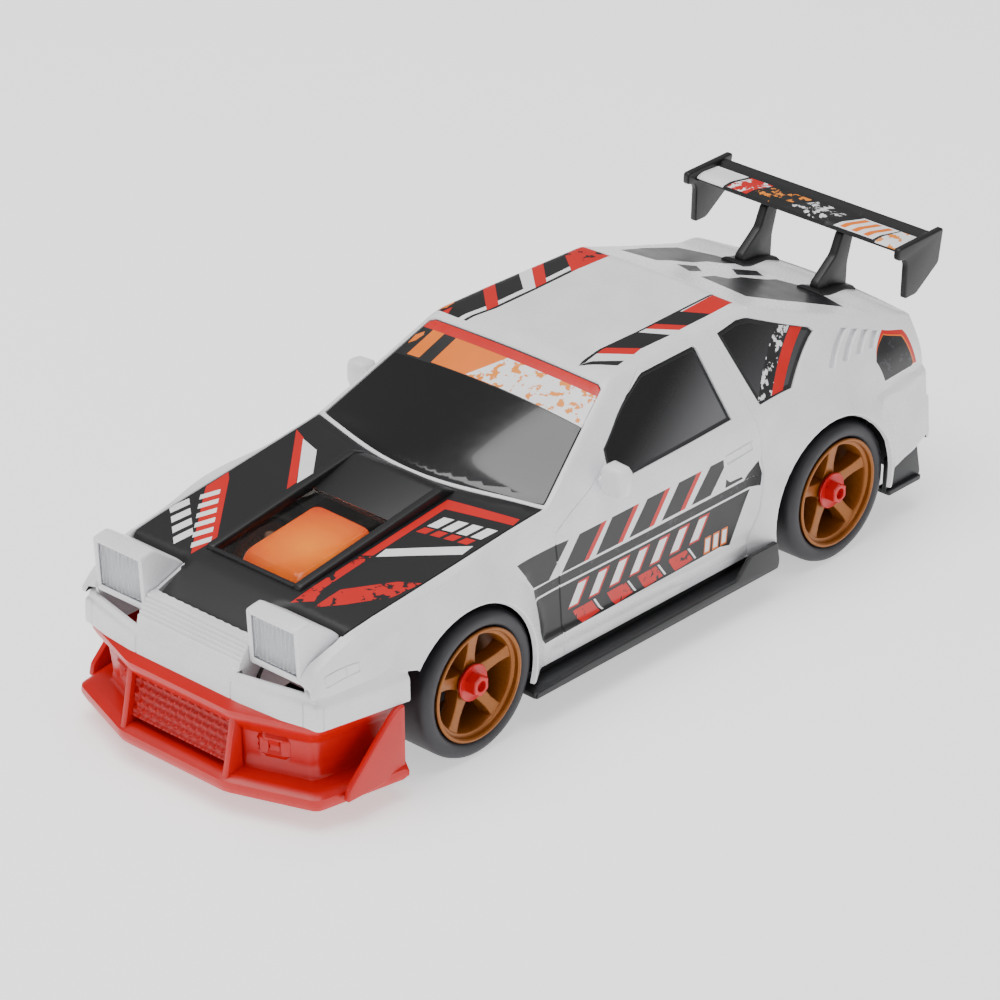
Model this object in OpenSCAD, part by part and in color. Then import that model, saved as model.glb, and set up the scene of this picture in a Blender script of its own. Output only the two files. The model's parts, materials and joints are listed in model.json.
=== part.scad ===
// Radio-controlled drift coupe, about 1:15.
// Millimetres. The front is -Y, the car's left side is +X and +Z is up.
// The origin is at ground level, midway along the car, on its centre plane.

/* [Car] */
// Distance between the front and rear axles
wheelbase = 160; // [156:1:164]
// From the front axle to the tip of the splitter
front_overhang = 71.5; // [71:0.5:74]
// From the rear axle to the back of the wing end plates
rear_overhang = 58.5; // [58:0.5:61]
// Width of the body sides at the doors
door_width = 94; // [92:1:96]
// Width over the wheel arch flares
flare_width = 107; // [106:0.5:109]
// Height of the roof
roof_z = 88; // [86:1:90]
// Height of the belt line under the windows
belt_z = 60; // [59:0.5:61]
// Height of the body's lower edge
sill_z = 14.5; // [14:0.5:16]
// Wall thickness of the body shell
wall = 2; // [1.8:0.1:2.2]

/* [Wheels] */
// Outer radius of the tyres
tyre_r = 22.9; // [22:0.1:23.2]
// Width of the tyres
tyre_w = 21; // [19:0.5:21]
// Outer radius of the rims
rim_r = 17.6; // [17:0.1:18]
// Distance between the outer faces of a pair of tyres
track_outer = 104.6; // [104:0.2:105]
// Number of spokes in a rim
spokes = 5; // [4:1:6]
// Radius of the metal axles
axle_r = 1.5; // [1.2:0.1:1.5]

/* [Steering] */
// Distance of a kingpin from the centre plane
kingpin_x = 35; // [34:0.5:36]
// Distance from the kingpin line back to the tie rod
arm_len = 14; // [13:0.5:15]
// Length of the steering servo's horn
horn_len = 9; // [8:0.5:10]

/* [Drive] */
// Size of the gear teeth, as pitch diameter per tooth
gear_module = 0.6;
// Teeth on the axle gear
spur_teeth = 36; // [32:4:36]
// Teeth on the motor pinion
pinion_teeth = 10; // [8:2:10]

/* [Headlamps] */
// Width of a pop-up headlamp pod
pod_w = 20; // [18:0.5:20.5]
// Distance of a pod's centre from the centre plane
pod_x = 30.8; // [30:0.2:31]

/* [Wing] */
// Half the length of the wing blade
blade_half = 41.2; // [40:0.2:42]
// Distance of a wing stand from the centre plane
stand_x = 15.2; // [14:0.2:17]

/* [Hidden] */
wheel_sides = ["front_l", "front_r", "rear_l", "rear_r"];

front_y = -(front_overhang + wheelbase + rear_overhang) / 2;
front_axle_y = front_y + front_overhang;
rear_axle_y = front_axle_y + wheelbase;
rear_y = rear_axle_y + rear_overhang;
axle_z = tyre_r;
door_x = door_width / 2;
flare_x = flare_width / 2;
tyre_out_x = track_outer / 2;
tyre_in_x = tyre_out_x - tyre_w;
arch_r = 26.3;              // opening of a wheel arch in the body side
well_r = 28.5;              // wheel well behind the arch lip
lip_x = flare_x - 2.7;      // inner face of the arch lip
arch_lead = 2.2;            // arches are centred this far ahead of their wheels
floor_z = 8.6;              // underside of the chassis
floor_t = 2;
fit = 0.15;                 // gap around pieces set into the body
run = 0.06;                 // radial clearance of a running shaft
cowl_y = front_axle_y + 36; // foot of the windshield
roof_front_y = front_axle_y + 73;
roof_rear_y = rear_axle_y - 24;
tail_y = rear_axle_y + 48.5;
hood_front_y = front_axle_y - 57.8;

white = "#f3f3f5";
black = "#2c2c2e";
red = "#e0241c";
bronze = "#a5671f";
orange = [1, 0.55, 0, 0.8];
metal = "#b9bcc0";
smoke = "#26262a";

// Body cross-sections: [y, half width, bottom z, shoulder z, top z, half width at top]
stations = [
    [front_axle_y - 66.5, 43, 31, 36, 38, 41],
    [front_axle_y - 63, door_x - 0.8, 31, 39.5, 42, 43],
    [hood_front_y, door_x - 0.5, 24, 45, 49.5, 43.6],
    [front_axle_y - 43.5, door_x, sill_z, 51, 54.5, 43.8],
    [front_axle_y, door_x, sill_z, 54, 59.5, 44.3],
    [cowl_y - 4.6, door_x, sill_z, 57, 62.8, 44.8],
    [cowl_y + 8, door_x, sill_z, belt_z - 3, belt_z + 1.4, 44.5],
    [rear_axle_y - 30, door_x, sill_z, belt_z - 2, belt_z + 1, 43.5],
    [rear_axle_y + 20, door_x + 1, sill_z, belt_z - 2, belt_z + 1, 42.5],
    [rear_axle_y + 43, door_x + 0.5, 17, belt_z - 3, belt_z + 1, 41],
    [tail_y, door_x - 1, 24, 50, 55, 41]];

// ---------------------------------------------------------------- helpers

// Mirrors its children to the other side of the centre plane as well
module both_sides() {
    children();
    mirror([1, 0, 0]) children();
}

// Side outline given as [y, z] points, extruded from x0 to x1
module side_plate(points, x0, x1) {
    translate([x0, 0, 0]) rotate([90, 0, 90]) linear_extrude(x1 - x0) polygon(points);
}

// Cylinder along X between x0 and x1
module bar_x(r, x0, x1, y, z, fn = 64) {
    translate([x0, y, z]) rotate([0, 90, 0]) cylinder(h = x1 - x0, r = r, $fn = fn);
}

// Upright cylinder between z0 and z1
module bar_z(r, z0, z1, x, y, fn = 48) {
    translate([x, y, z0]) cylinder(h = z1 - z0, r = r, $fn = fn);
}

// Box given by its lowest and highest corners
module block(low, high) {
    translate(low) cube(high - low);
}

// ---------------------------------------------------------------- body shapes

// The six corners of one cross-section, moved inwards by inset
function body_ring(s, y, inset, drop) =
    let (half = s[1] - inset, top = s[5] - inset * 0.6, shoulder = s[3] - inset * 0.5)
    [[-half, y, s[2] - drop], [half, y, s[2] - drop], [half, y, shoulder],
     [top, y, s[4] - inset], [-top, y, s[4] - inset], [-half, y, shoulder]];

// Lower body up to the belt line, lofted through the stations; drop lowers its underside
module lower_body(inset = 0, drop = 0) {
    last = len(stations) - 1;
    points = [for (i = [0 : last])
        each body_ring(stations[i], stations[i][0] + (i == 0 ? inset : i == last ? -inset : 0), inset, drop)];
    sides = [for (i = [0 : last - 1], j = [0 : 5])
        let (a = 6 * i + j, b = 6 * i + (j + 1) % 6) each [[a, b, b + 6], [a, b + 6, a + 6]]];
    polyhedron(points, concat([[5, 4, 3, 2, 1, 0]], [[for (j = [0 : 5]) 6 * last + j]], sides));
}

// Cabin and fastback above the belt line, moved inwards by inset
module cabin(inset = 0) {
    round_r = 3;
    corners = [
        [44.6, cowl_y, belt_z + 1.5], [34.6, roof_front_y, roof_z - 1], [32.6, roof_rear_y, roof_z],
        [40.5, rear_axle_y + 33, belt_z + 8], [38, tail_y - 1, belt_z + 3], [46, cowl_y + 22, belt_z - 3],
        [46.5, rear_axle_y + 30, belt_z - 3], [42, tail_y - 3, belt_z - 4]];
    hull() both_sides() for (c = corners)
        translate([c[0] - round_r, c[1] + (c[1] < 0 ? round_r : -round_r), c[2] - round_r])
            sphere(round_r - inset, $fn = 24);
}

// Flared wheel arches
module flares() {
    for (y = [front_axle_y, rear_axle_y]) both_sides() intersection() {
        hull() {
            bar_x(37, 40, door_x - 0.5, y - arch_lead, axle_z, 48);
            bar_x(arch_r + 2.4, flare_x - 1.2, flare_x, y - arch_lead, axle_z, 48);
        }
        block([0, front_y + 8, sill_z], [60, rear_y - 12, 70]);
    }
}

// Everything a wheel needs clear of the body
module wheel_wells() {
    for (y = [front_axle_y, rear_axle_y]) both_sides() {
        bar_x(well_r, 24, lip_x, y - arch_lead, axle_z, 64);
        bar_x(arch_r, 24, flare_x + 2, y - arch_lead, axle_z, 64);
    }
}

// Outline of the hood in plan, grown by gap
module hood_plan(gap = 0) {
    front_x = 43.6 + gap;
    step_y = hood_front_y + 14;
    polygon([
        [-20.3 - gap, hood_front_y - gap], [20.3 + gap, hood_front_y - gap], [20.3 + gap, step_y - gap],
        [42 + gap, step_y - gap], [front_x, step_y + 2], [44.4 + gap, cowl_y - 5 + gap],
        [-44.4 - gap, cowl_y - 5 + gap], [-front_x, step_y + 2], [-42 - gap, step_y - gap],
        [-20.3 - gap, step_y - gap]]);
}

module hood_cut(gap = 0) {
    translate([0, 0, 40]) linear_extrude(30) hood_plan(gap);
}

// The hood's opening over the engine cover
window_half = 15.4;
window_front_y = front_axle_y - 36.6;
window_rear_y = front_axle_y + 1.8;
module hood_opening(grow = 0) {
    block([-window_half - grow, window_front_y - grow, 30], [window_half + grow, window_rear_y + grow, 80]);
}

windshield_plan = [[-41.5, 64.5], [41.5, 64.5], [31.6, 83.6], [-31.6, 83.6]];
side_window_plan = [[-9.6, 65.5], [-3, 61.8], [43.5, 62], [40.8, 83], [15.8, 83], [12, 81]];
quarter_window_plan = [[53, 81.5], [60.8, 83], [91.5, 71.5], [76, 61.8], [58.2, 61.8]];

module windshield_cut(gap = 0) intersection() {
    translate([0, 4, 0]) rotate([90, 0, 0]) linear_extrude(60) offset(delta = gap) polygon(windshield_plan);
    side_plate([[-60, 50], [-15, 60], [-15, 69.5], [1, 85], [1, 90], [-60, 90]], -60, 60);
}

module side_cut(points, gap = 0) {
    translate([20, 0, 0]) rotate([90, 0, 90]) linear_extrude(40) offset(delta = gap) polygon(points);
}

// Posts that the chassis screws run up into
post_places = [[38, front_axle_y + 40], [38, rear_axle_y - 38], [20, rear_axle_y + 34]];

// Shallow slanted slots behind the quarter windows
module quarter_vents() {
    difference() {
        for (i = [0 : 3])
            translate([30, rear_axle_y + 5 + 6.4 * i, belt_z + 1.5]) rotate([-38, 0, 0])
                cube([20, 2, 10.6 - 2.4 * i]);
        cabin(1);
    }
}

// Box in which a headlamp pod turns
module pod_bay() {
    block([pod_x - pod_w / 2 - 0.5, front_axle_y - 70, 43.2], [pod_x + pod_w / 2 + 0.5, pod_hinge_y + 2.5, 70]);
}

// ---------------------------------------------------------------- body parts

module body_shell() color(white) {
    difference() {
        union() {
            lower_body();
            cabin();
            flares();
        }
        difference() {
            lower_body(wall, 30);
            // ledge that carries the hood
            difference() {
                translate([0, 0, 40]) linear_extrude(30) hood_plan(-0.2);
                block([-39, hood_front_y + 5, 0], [39, cowl_y - 9, 80]);
                translate([0, 0, -5.2]) lower_body();
            }
        }
        cabin(wall);
        block([-40, front_axle_y - 40, 8], [40, rear_axle_y + 42, 30]);
        wheel_wells();
        intersection() {
            hood_cut(fit);
            difference() {
                block([-60, front_y, 30], [60, cowl_y, 80]);
                translate([0, 0, -2.05]) lower_body();
            }
        }
        block([-38, hood_front_y + 19, 30], [38, cowl_y - 10, 80]);
        both_sides() pod_bay();
        windshield_cut(fit);
        both_sides() {
            side_cut(side_window_plan, fit);
            side_cut(quarter_window_plan, fit);
            quarter_vents();
        }
        bumper_notch();
        // seats of the rear winglets
        both_sides() block([44.6, winglet_y - 0.2, 0], [60, tail_y + 1, 27]);
    }
    // screw posts, webbed to the sides of the shell
    both_sides() for (p = post_places) difference() {
        hull() {
            bar_z(3, floor_z + floor_t + 0.1, 34, p[0], p[1], 32);
            if (p[0] > 30) block([p[0], p[1] - 1, sill_z + 1.3], [door_x - 0.6, p[1] + 1, 34]);
            else block([p[0] - 1, p[1], 26], [p[0] + 1, tail_y - 1, 34]);
        }
        bar_z(1.3, 0, 26, p[0], p[1], 24);
    }
}

// Room for the red bumper below the nose
module bumper_notch() {
    block([-60, front_y - 1, 0], [60, front_axle_y - 30.6, 31]);
}

module hood_panel() color(black) {
    difference() {
        union() {
            intersection() {
                hood_cut();
                lower_body();
            }
            // raised frame around the opening
            hull() {
                block([-18.4, window_front_y - 4, 53], [18.4, window_front_y - 3.8, 54]);
                block([-18, window_front_y, 53], [18, window_front_y + 1, 58]);
                block([-19, cowl_y - 16.4, 58], [19, cowl_y - 16, 65.6]);
                block([-19, cowl_y - 5.2, 58], [19, cowl_y - 5, 63.4]);
            }
        }
        translate([0, 0, -1.8]) lower_body();
        block([-16.8, window_front_y + 1.6, 30], [16.8, cowl_y - 18, 57]);
        hull() {
            block([-16.8, window_front_y + 1.6, 50], [16.8, window_front_y + 2, 56]);
            block([-16.8, cowl_y - 18.4, 50], [16.8, cowl_y - 18, 63.4]);
        }
        hood_opening();
    }
}

module hood_window() color([0.8, 0.85, 0.9, 0.35]) {
    hull() {
        block([-16.6, window_front_y + 1.8, 54.6], [16.6, window_front_y + 2, 55.8]);
        block([-16.6, window_rear_y + 1.4, 59.8], [16.6, window_rear_y + 1.6, 61]);
    }
}

module engine_cover() color(orange) {
    difference() {
        hull() {
            block([-11, front_axle_y - 31, 46], [11, front_axle_y - 6, 48]);
            block([-10, front_axle_y - 28, 52], [10, front_axle_y - 8, 53.6]);
            block([-9, front_axle_y - 25.5, 54], [9, front_axle_y - 25, 55.2]);
            block([-9, front_axle_y - 12, 54], [9, front_axle_y - 10.5, 57.2]);
        }
        block([-9.4, front_axle_y - 29, 40], [9.4, front_axle_y - 8, 51.6]);
    }
    block([-14.8, front_axle_y - 35, 44.6], [14.8, front_axle_y + 1, 46]);
}

module light_board() color("seagreen") {
    block([-13, front_axle_y - 34, 41.4], [13, front_axle_y, 43]);
    for (x = [-5, 5], y = [-24, -12]) bar_z(1.6, 43, 44.4, x, front_axle_y + y, 32);
}

// Glass set into the skin of the cabin
module skin_pane() {
    difference() {
        cabin(0.5);
        cabin(1.8);
    }
}

module windshield() color(smoke) intersection() {
    skin_pane();
    windshield_cut();
}

module side_window() color(smoke) intersection() {
    skin_pane();
    side_cut(side_window_plan);
}

module quarter_window() color(smoke) intersection() {
    skin_pane();
    side_cut(quarter_window_plan);
}

module door_mirror() color(white) {
    y = cowl_y + 20;
    hull() {
        block([46.6, y, 62.6], [47, y + 6, 69]);
        block([53, y + 1.4, 61.8], [53.6, y + 6, 69.6]);
    }
    difference() {
        block([42, y + 1.5, 63.4], [47.4, y + 5, 66.4]);
        cabin(-0.03);
    }
}

// ---------------------------------------------------------------- headlamps

pod_hinge_y = hood_front_y + 11.6;
pod_hinge_z = 50.4;
pod_face_y = hood_front_y - 1.7;

module headlamp_pod() color(white) {
    x0 = pod_x - pod_w / 2;
    x1 = pod_x + pod_w / 2;
    back = pod_hinge_y + 1.9;
    outline = [[pod_face_y - 1, 60.8], [pod_face_y + 3.8, 61.8], [back, 53.4], [back, 48.8], [back - 3.8, 48.2],
               [pod_face_y + 4, 43.6], [pod_face_y + 0.4, 43.8], [pod_face_y, 44.6], [pod_face_y - 0.3, 59.2],
               [pod_face_y - 1, 59.4]];
    difference() {
        side_plate(outline, x0, x1);
        block([x0 + 1.6, pod_face_y - 2, 45.6], [x1 - 1.6, pod_face_y + 2.4, 59]);
        bar_x(1.06, x0 - 1, x1 + 1, pod_hinge_y, pod_hinge_z);
    }
}

module headlamp_lens() color([0.9, 0.93, 0.95, 0.6]) {
    block([pod_x - pod_w / 2 + 1.7, pod_face_y + 0.5, 45.7], [pod_x + pod_w / 2 - 1.7, pod_face_y + 2.3, 58.9]);
}

// ---------------------------------------------------------------- trim

bumper_x = 52.6;
bumper_back_y = front_axle_y - 31.2;
// Right half of the bumper's plan outline at distance inset from its edge
function bumper_edge(inset) = [
    [0, front_y + inset], [20.5, front_y + 1.3 + inset], [46.8 - inset * 0.5, front_axle_y - 60.6 + inset],
    [bumper_x - inset, bumper_back_y]];
function mirrored(points) = [for (i = [len(points) - 1 : -1 : 0]) [-points[i][0], points[i][1]]];

module bumper_ring(outer, inner) {
    difference() {
        polygon(concat(bumper_edge(outer), mirrored(bumper_edge(outer))));
        polygon(concat(bumper_edge(inner), mirrored(bumper_edge(inner))));
    }
}

module front_bumper() color(red) {
    // splitter plate
    translate([0, 0, 7.4]) linear_extrude(2.6) difference() {
        bumper_ring(0, 13.5);
        translate([-46.5, front_axle_y - 44]) square([93, 30]);
    }
    // apron
    translate([0, 0, 10]) linear_extrude(20.8) bumper_ring(4.4, 6.8);
    // tongue under the chassis
    block([-20, front_y + 12, 7.4], [20, front_y + 27, floor_z - 0.05]);
    // grille surround
    block([-20.5, front_y + 4.6, 10], [20.5, front_y + 7, 30.8]);
    // upright fins
    both_sides() side_plate([[front_y + 1.6, 10], [front_y + 5.2, 10], [front_y + 7, 30.9], [front_y + 4.8, 30.9]],
                            19.4, 21.6);
    // end plates
    both_sides() side_plate([[bumper_back_y - 22, 10], [bumper_back_y, 10], [bumper_back_y, 27]],
                            bumper_x - 2, bumper_x);
}

module side_skirt() color("#3c3d3f") {
    y0 = front_axle_y + 21;
    y1 = rear_axle_y - 36;
    // running board, upstand and kicked-up rear end
    translate([0, 0, 10]) linear_extrude(2.4)
        polygon([[45.6, y0 + 8], [49.5, y0], [54.6, y0], [54.6, y1 - 12], [52, y1], [45.6, y1]]);
    side_plate([[y0 + 9, 12.4], [y1, 12.4], [y1, 14.3], [y0 + 9, 14.3]], 45.8, 47);
    side_plate([[y1 - 19, 12.4], [y1 - 1, 12.4], [y1 - 1, 19.4], [y1 - 13, 19.4]], 50.4, 52);
}

winglet_y = rear_axle_y + 28.5;

module rear_winglets() color("#3c3d3f") both_sides() {
    y = winglet_y;
    side_plate([[y, 10], [y, 22], [y + 5, 23.6], [y + 16.5, 16.5], [y + 16.5, 11]], 47.2, 50);
    side_plate([[y + 9, 14], [y + 13.5, 26.5], [y + 14.5, 14]], 44.8, 46.4);
    block([44.8, y + 4, 12], [47.2, y + 14.5, 14]);
}

module tail_lamps() color("#b01818") both_sides()
    block([20, tail_y + 0.05, 41], [40, tail_y + 1.2, 48]);

blade_y = rear_axle_y + 40.7;
endplate_y = rear_axle_y + 36.5;

module wing_blade() color(black) {
    rotate([90, 0, 90]) linear_extrude(2 * blade_half, center = true)
        polygon([[blade_y, 84.4], [blade_y + 0.4, 87], [blade_y + 3, 87.6], [blade_y + 10, 87.2],
                 [blade_y + 13.2, 88.8], [blade_y + 14, 88.6], [blade_y + 13.6, 86.4], [blade_y + 9, 84.8]]);
}

module wing_endplates() color(black) both_sides()
    side_plate([[endplate_y, 85.3], [endplate_y + 0.2, 89], [rear_y, 89.4], [rear_y - 1.8, 78.4],
                [rear_y - 12.6, 71.2], [rear_y - 18, 71.2], [rear_y - 17.6, 82.6], [rear_y - 18.6, 84.6]],
               blade_half + 0.05, blade_half + 2.3);

module wing_stand(x) color(black) difference() {
    side_plate([[rear_axle_y + 30.6, 62], [rear_axle_y + 45, 60], [rear_axle_y + 45.4, 74],
                [rear_axle_y + 48.6, 84.2], [blade_y + 2, 84.3], [rear_axle_y + 39.6, 78],
                [rear_axle_y + 30.6, 71]],
               x - 1.4, x + 1.4);
    cabin(-0.03);
}

// ---------------------------------------------------------------- chassis

door_low = [-22, front_axle_y + 38, floor_z];
door_high = [22, front_axle_y + 104, floor_z + floor_t];
door_screw_y = door_high[1] - 4;
switch_pos = [15, rear_axle_y - 42];
switch_travel = 5;
dial_pos = [0, front_axle_y + 24];
pad_half = [11.5, 6];
pad_y = rear_axle_y - 46.5;
pad_z = 7;

module chassis_plan() {
    polygon([
        [-24, front_y + 19.2], [24, front_y + 19.2], [24, front_axle_y + 25], [29, front_axle_y + 28], [44.6, front_axle_y + 34],
        [44.6, rear_axle_y - 34], [29, rear_axle_y - 27], [29, rear_axle_y + 42], [-29, rear_axle_y + 42],
        [-29, rear_axle_y - 27], [-44.6, rear_axle_y - 34], [-44.6, front_axle_y + 34],
        [-29, front_axle_y + 28], [-24, front_axle_y + 25]]);
}

module chassis() color("#262628") {
    difference() {
        translate([0, 0, floor_z]) linear_extrude(floor_t) chassis_plan();
        block(door_low - [0.2, 0.2, 1], door_high + [0.2, 0.2, 1]);
        both_sides() for (p = post_places) bar_z(1.3, 0, 20, p[0], p[1]);
        block([switch_pos[0] - 2.2, switch_pos[1] - 5.2, 0], [switch_pos[0] + 2.2, switch_pos[1] + 5.2, 20]);
        bar_z(2 + run, 0, 20, dial_pos[0], dial_pos[1]);
    }
    // bridge over the battery door that takes its screw
    difference() {
        block([-26, door_screw_y - 3, floor_z + floor_t + 0.2], [26, door_screw_y + 3, 14]);
        bar_z(1.2, 0, 20, 0, door_screw_y);
    }
    // flat pad for a display stand
    block([-pad_half[0], pad_y - pad_half[1], pad_z], [pad_half[0], pad_y + pad_half[1], floor_z + 0.5]);
    // rails beside the battery
    both_sides() block([24, front_axle_y + 30, floor_z + floor_t], [26, rear_axle_y - 30, 20]);
    // arms and towers that hold the kingpins
    both_sides() difference() {
        union() {
            block([15, front_axle_y - 5, floor_z + floor_t], [19.6, front_axle_y + 5, 34]);
            block([19, front_axle_y - 4, 13], [kingpin_x + 3.5, front_axle_y + 4, 15.4]);
            block([19, front_axle_y - 4, 30.4], [kingpin_x + 3.5, front_axle_y + 4, 32.8]);
        }
        bar_z(1.5, 0, 40, kingpin_x, front_axle_y);
    }
    // hinge brackets and pins of the headlamp pods
    both_sides() {
        bar_x(1, pod_x - pod_w / 2 - 4, pod_x + pod_w / 2 + 0.3, pod_hinge_y, pod_hinge_z);
        block([pod_x - pod_w / 2 - 4, pod_hinge_y - 1.2, floor_z + floor_t],
              [pod_x - pod_w / 2 - 1.4, pod_hinge_y + 2, pod_hinge_z + 0.6]);
    }
}

// Pan-head screw under the floor with a cross slot, its tip at tip_z
module floor_screw(x, y, tip_z) {
    bar_z(1.1, floor_z - 0.2, tip_z, x, y);
    difference() {
        bar_z(2.6, floor_z - 1.4, floor_z - 0.05, x, y);
        block([x - 1.6, y - 0.3, floor_z - 2], [x + 1.6, y + 0.3, floor_z - 0.9]);
        block([x - 0.3, y - 1.6, floor_z - 2], [x + 0.3, y + 1.6, floor_z - 0.9]);
    }
}

module chassis_screws() color(metal) both_sides() for (p = post_places) floor_screw(p[0], p[1], 24);
module door_screw() color(metal) floor_screw(0, door_screw_y, 16);

module battery_door() color("#262628") {
    difference() {
        block(door_low, door_high);
        bar_z(1.3, 0, 20, 0, door_screw_y);
    }
    // finger ribs
    for (i = [0 : 4])
        block([-12, door_low[1] + 36 + 2.6 * i, floor_z - 0.5], [12, door_low[1] + 37 + 2.6 * i, floor_z]);
}

module battery_pack() color("#3a66c8") {
    for (x = [-9.4, 9.4]) translate([x, door_low[1] + 3, floor_z + floor_t + 9.4]) rotate([-90, 0, 0]) {
        cylinder(h = 50, r = 9, $fn = 64);
        translate([0, 0, 50]) cylinder(h = 1, r = 3, $fn = 48);
    }
    block([-6, door_low[1] + 8, floor_z + floor_t + 0.2], [6, door_low[1] + 48, floor_z + floor_t + 3.4]);
}

module circuit_board() color("seagreen") {
    y = rear_axle_y - 60;
    block([-21, y, 30], [21, y + 28, 31.6]);
    block([-14, y + 6, 31.6], [-2, y + 18, 33.6]);
    block([4, y + 4, 31.6], [14, y + 10, 36]);
    for (x = [6, 12]) bar_z(2.4, 31.6, 38, x, y + 19);
    // legs on the chassis rails
    both_sides() {
        block([24.2, y + 4, 20], [25.8, y + 24, 30]);
        block([20, y + 4, 28.6], [25.8, y + 24, 30]);
    }
}

module power_switch() color("#d8d8da") {
    x = switch_pos[0];
    y = switch_pos[1] - switch_travel / 2;
    block([x - 1.9, y - 2, floor_z - 1], [x + 1.9, y + 2, floor_z + 1.8]);
}

module trim_dial() color(black) {
    bar_z(6, floor_z - 1.3, floor_z - 0.2, dial_pos[0], dial_pos[1]);
    bar_z(2, floor_z - 0.2, floor_z + floor_t + 1, dial_pos[0], dial_pos[1]);
    block([dial_pos[0] - 5, dial_pos[1] - 0.7, floor_z - 2.1], [dial_pos[0] + 5, dial_pos[1] + 0.7, floor_z - 1.3]);
}

// ---------------------------------------------------------------- drive

spur_pitch_r = gear_module * spur_teeth / 2;
pinion_pitch_r = gear_module * pinion_teeth / 2;
gear_x0 = 8;
gear_x1 = 13;
motor_y = rear_axle_y - spur_pitch_r - pinion_pitch_r - 0.1;

// Gear outline with trapezoid teeth; phase turns it by a share of one tooth
module gear_plan(teeth, phase) {
    pitch_r = gear_module * teeth / 2;
    tip_r = pitch_r + 0.85 * gear_module;
    root_r = pitch_r - 1.15 * gear_module;
    step = 360 / teeth;
    polygon([for (i = [0 : teeth - 1], k = [[-0.32, root_r], [-0.11, tip_r], [0.11, tip_r], [0.32, root_r]])
        k[1] * [cos((i + phase + k[0]) * step), sin((i + phase + k[0]) * step)]]);
}

module spur_gear() color("ivory") {
    translate([gear_x0, rear_axle_y, axle_z]) rotate([90, 0, 90]) difference() {
        linear_extrude(gear_x1 - gear_x0) gear_plan(spur_teeth, 0);
        translate([0, 0, -1]) cylinder(h = 10, r = axle_r, $fn = 48);
        for (a = [0 : 60 : 300]) rotate(a + 30) translate([5.6, 0, -1]) cylinder(h = 10, r = 1.5, $fn = 32);
    }
}

module pinion() color("goldenrod")
    translate([gear_x0 - 0.5, motor_y, axle_z]) rotate([90, 0, 90]) difference() {
        linear_extrude(gear_x1 - gear_x0 + 1) gear_plan(pinion_teeth, 0.5);
        translate([0, 0, -1]) cylinder(h = 10, r = 1, $fn = 48);
    }

module rear_axle() color(metal)
    bar_x(axle_r, -tyre_out_x + 1.2, tyre_out_x - 1.2, rear_axle_y, axle_z);

module rear_bushes() color("goldenrod") both_sides() difference() {
    union() {
        bar_x(3.2, 21.4, 26, rear_axle_y, axle_z);
        bar_x(4.4, 24.6, 26, rear_axle_y, axle_z);
    }
    bar_x(axle_r + run, 20, 30, rear_axle_y, axle_z);
}

module gearbox() color("#3a3a3d") {
    y0 = motor_y - 12;
    y1 = rear_axle_y + 14;
    difference() {
        union() {
            both_sides() block([22, y0, floor_z + floor_t], [24.5, y1, 38]);
            block([-22, y0, 36], [22, y1, 38]);
            // partition that the motor is bolted to
            block([3.2, y0, floor_z + floor_t], [5.2, rear_axle_y - 5, 36]);
        }
        bar_x(3.2, -30, 30, rear_axle_y, axle_z);
        bar_x(2.2, 3, 6, motor_y, axle_z);
    }
}

module motor() color(metal) {
    intersection() {
        bar_x(10, -19, 3, motor_y, axle_z);
        block([-20, motor_y - 11, axle_z - 7.6], [4, motor_y + 11, axle_z + 7.6]);
    }
    bar_x(5, -21.5, -19, motor_y, axle_z);
    bar_x(2, 3, 4.6, motor_y, axle_z);
}

module motor_shaft() color(metal) bar_x(1, 4.7, gear_x1 + 1.5, motor_y, axle_z);

// ---------------------------------------------------------------- steering

tie_y = front_axle_y + arm_len;
servo_y = tie_y - horn_len;
pin_x = 26;                 // steering arm pins, measured from the centre plane
rod_z = 24.4;

module steering_servo() color("#1c1c1e") block([-11, servo_y - 11, floor_z + floor_t], [11, servo_y + 5, 21]);

module servo_horn() color("white") {
    bar_z(4, 27, 29.4, 0, servo_y);
    bar_z(2.6, 21.2, 27, 0, servo_y);
    block([-2, servo_y, 27], [2, tie_y, 29.4]);
    bar_z(2.6, 27, 29.4, 0, tie_y);
    bar_z(1.1, 23.8, 27, 0, tie_y);
}

module tie_rod() color(black) difference() {
    union() {
        block([-24, tie_y - 1.8, rod_z], [24, tie_y + 1.8, rod_z + 2]);
        block([-3.6, tie_y - 4, rod_z], [3.6, tie_y + 3, rod_z + 2]);
        both_sides() block([pin_x - 3.4, tie_y - 6.6, rod_z], [pin_x + 3.2, tie_y + 5.6, rod_z + 2]);
    }
    block([-1.45, tie_y - 2.8, 20], [1.45, tie_y + 1.4, 30]);
    both_sides() block([pin_x - 1.6, tie_y - 5.1, 20], [pin_x + 1.9, tie_y + 4.1, 30]);
}

module kingpins() color(metal) both_sides() {
    bar_z(1.5, 12, 34.2, kingpin_x, front_axle_y);
    bar_z(2.8, 33, 34.6, kingpin_x, front_axle_y);
}

module knuckle() color("#3a3a3d") {
    x0 = kingpin_x - 4;
    difference() {
        union() {
            block([x0, front_axle_y - 4.2, 15.8], [kingpin_x + 4, front_axle_y + 4.2, 30]);
            block([pin_x - 2, front_axle_y - 2, 20.4], [x0, front_axle_y + 4.2, 23.4]);
            block([pin_x - 2, front_axle_y + 4.2, 20.4], [pin_x + 2, tie_y + 2, 23.4]);
        }
        bar_z(1.5 + run, 10, 40, kingpin_x, front_axle_y);
    }
    bar_z(1.2, 23.4, 27, pin_x, tie_y);
    bar_x(axle_r, kingpin_x + 4, tyre_out_x - 1.2, front_axle_y, axle_z);
    bar_x(2.6, kingpin_x + 4, kingpin_x + 5, front_axle_y, axle_z);
}

// ---------------------------------------------------------------- wheels

// Wheel parts are drawn with their axis on X and their outer face towards +X
hub_x = tyre_out_x - 5.4;

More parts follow.
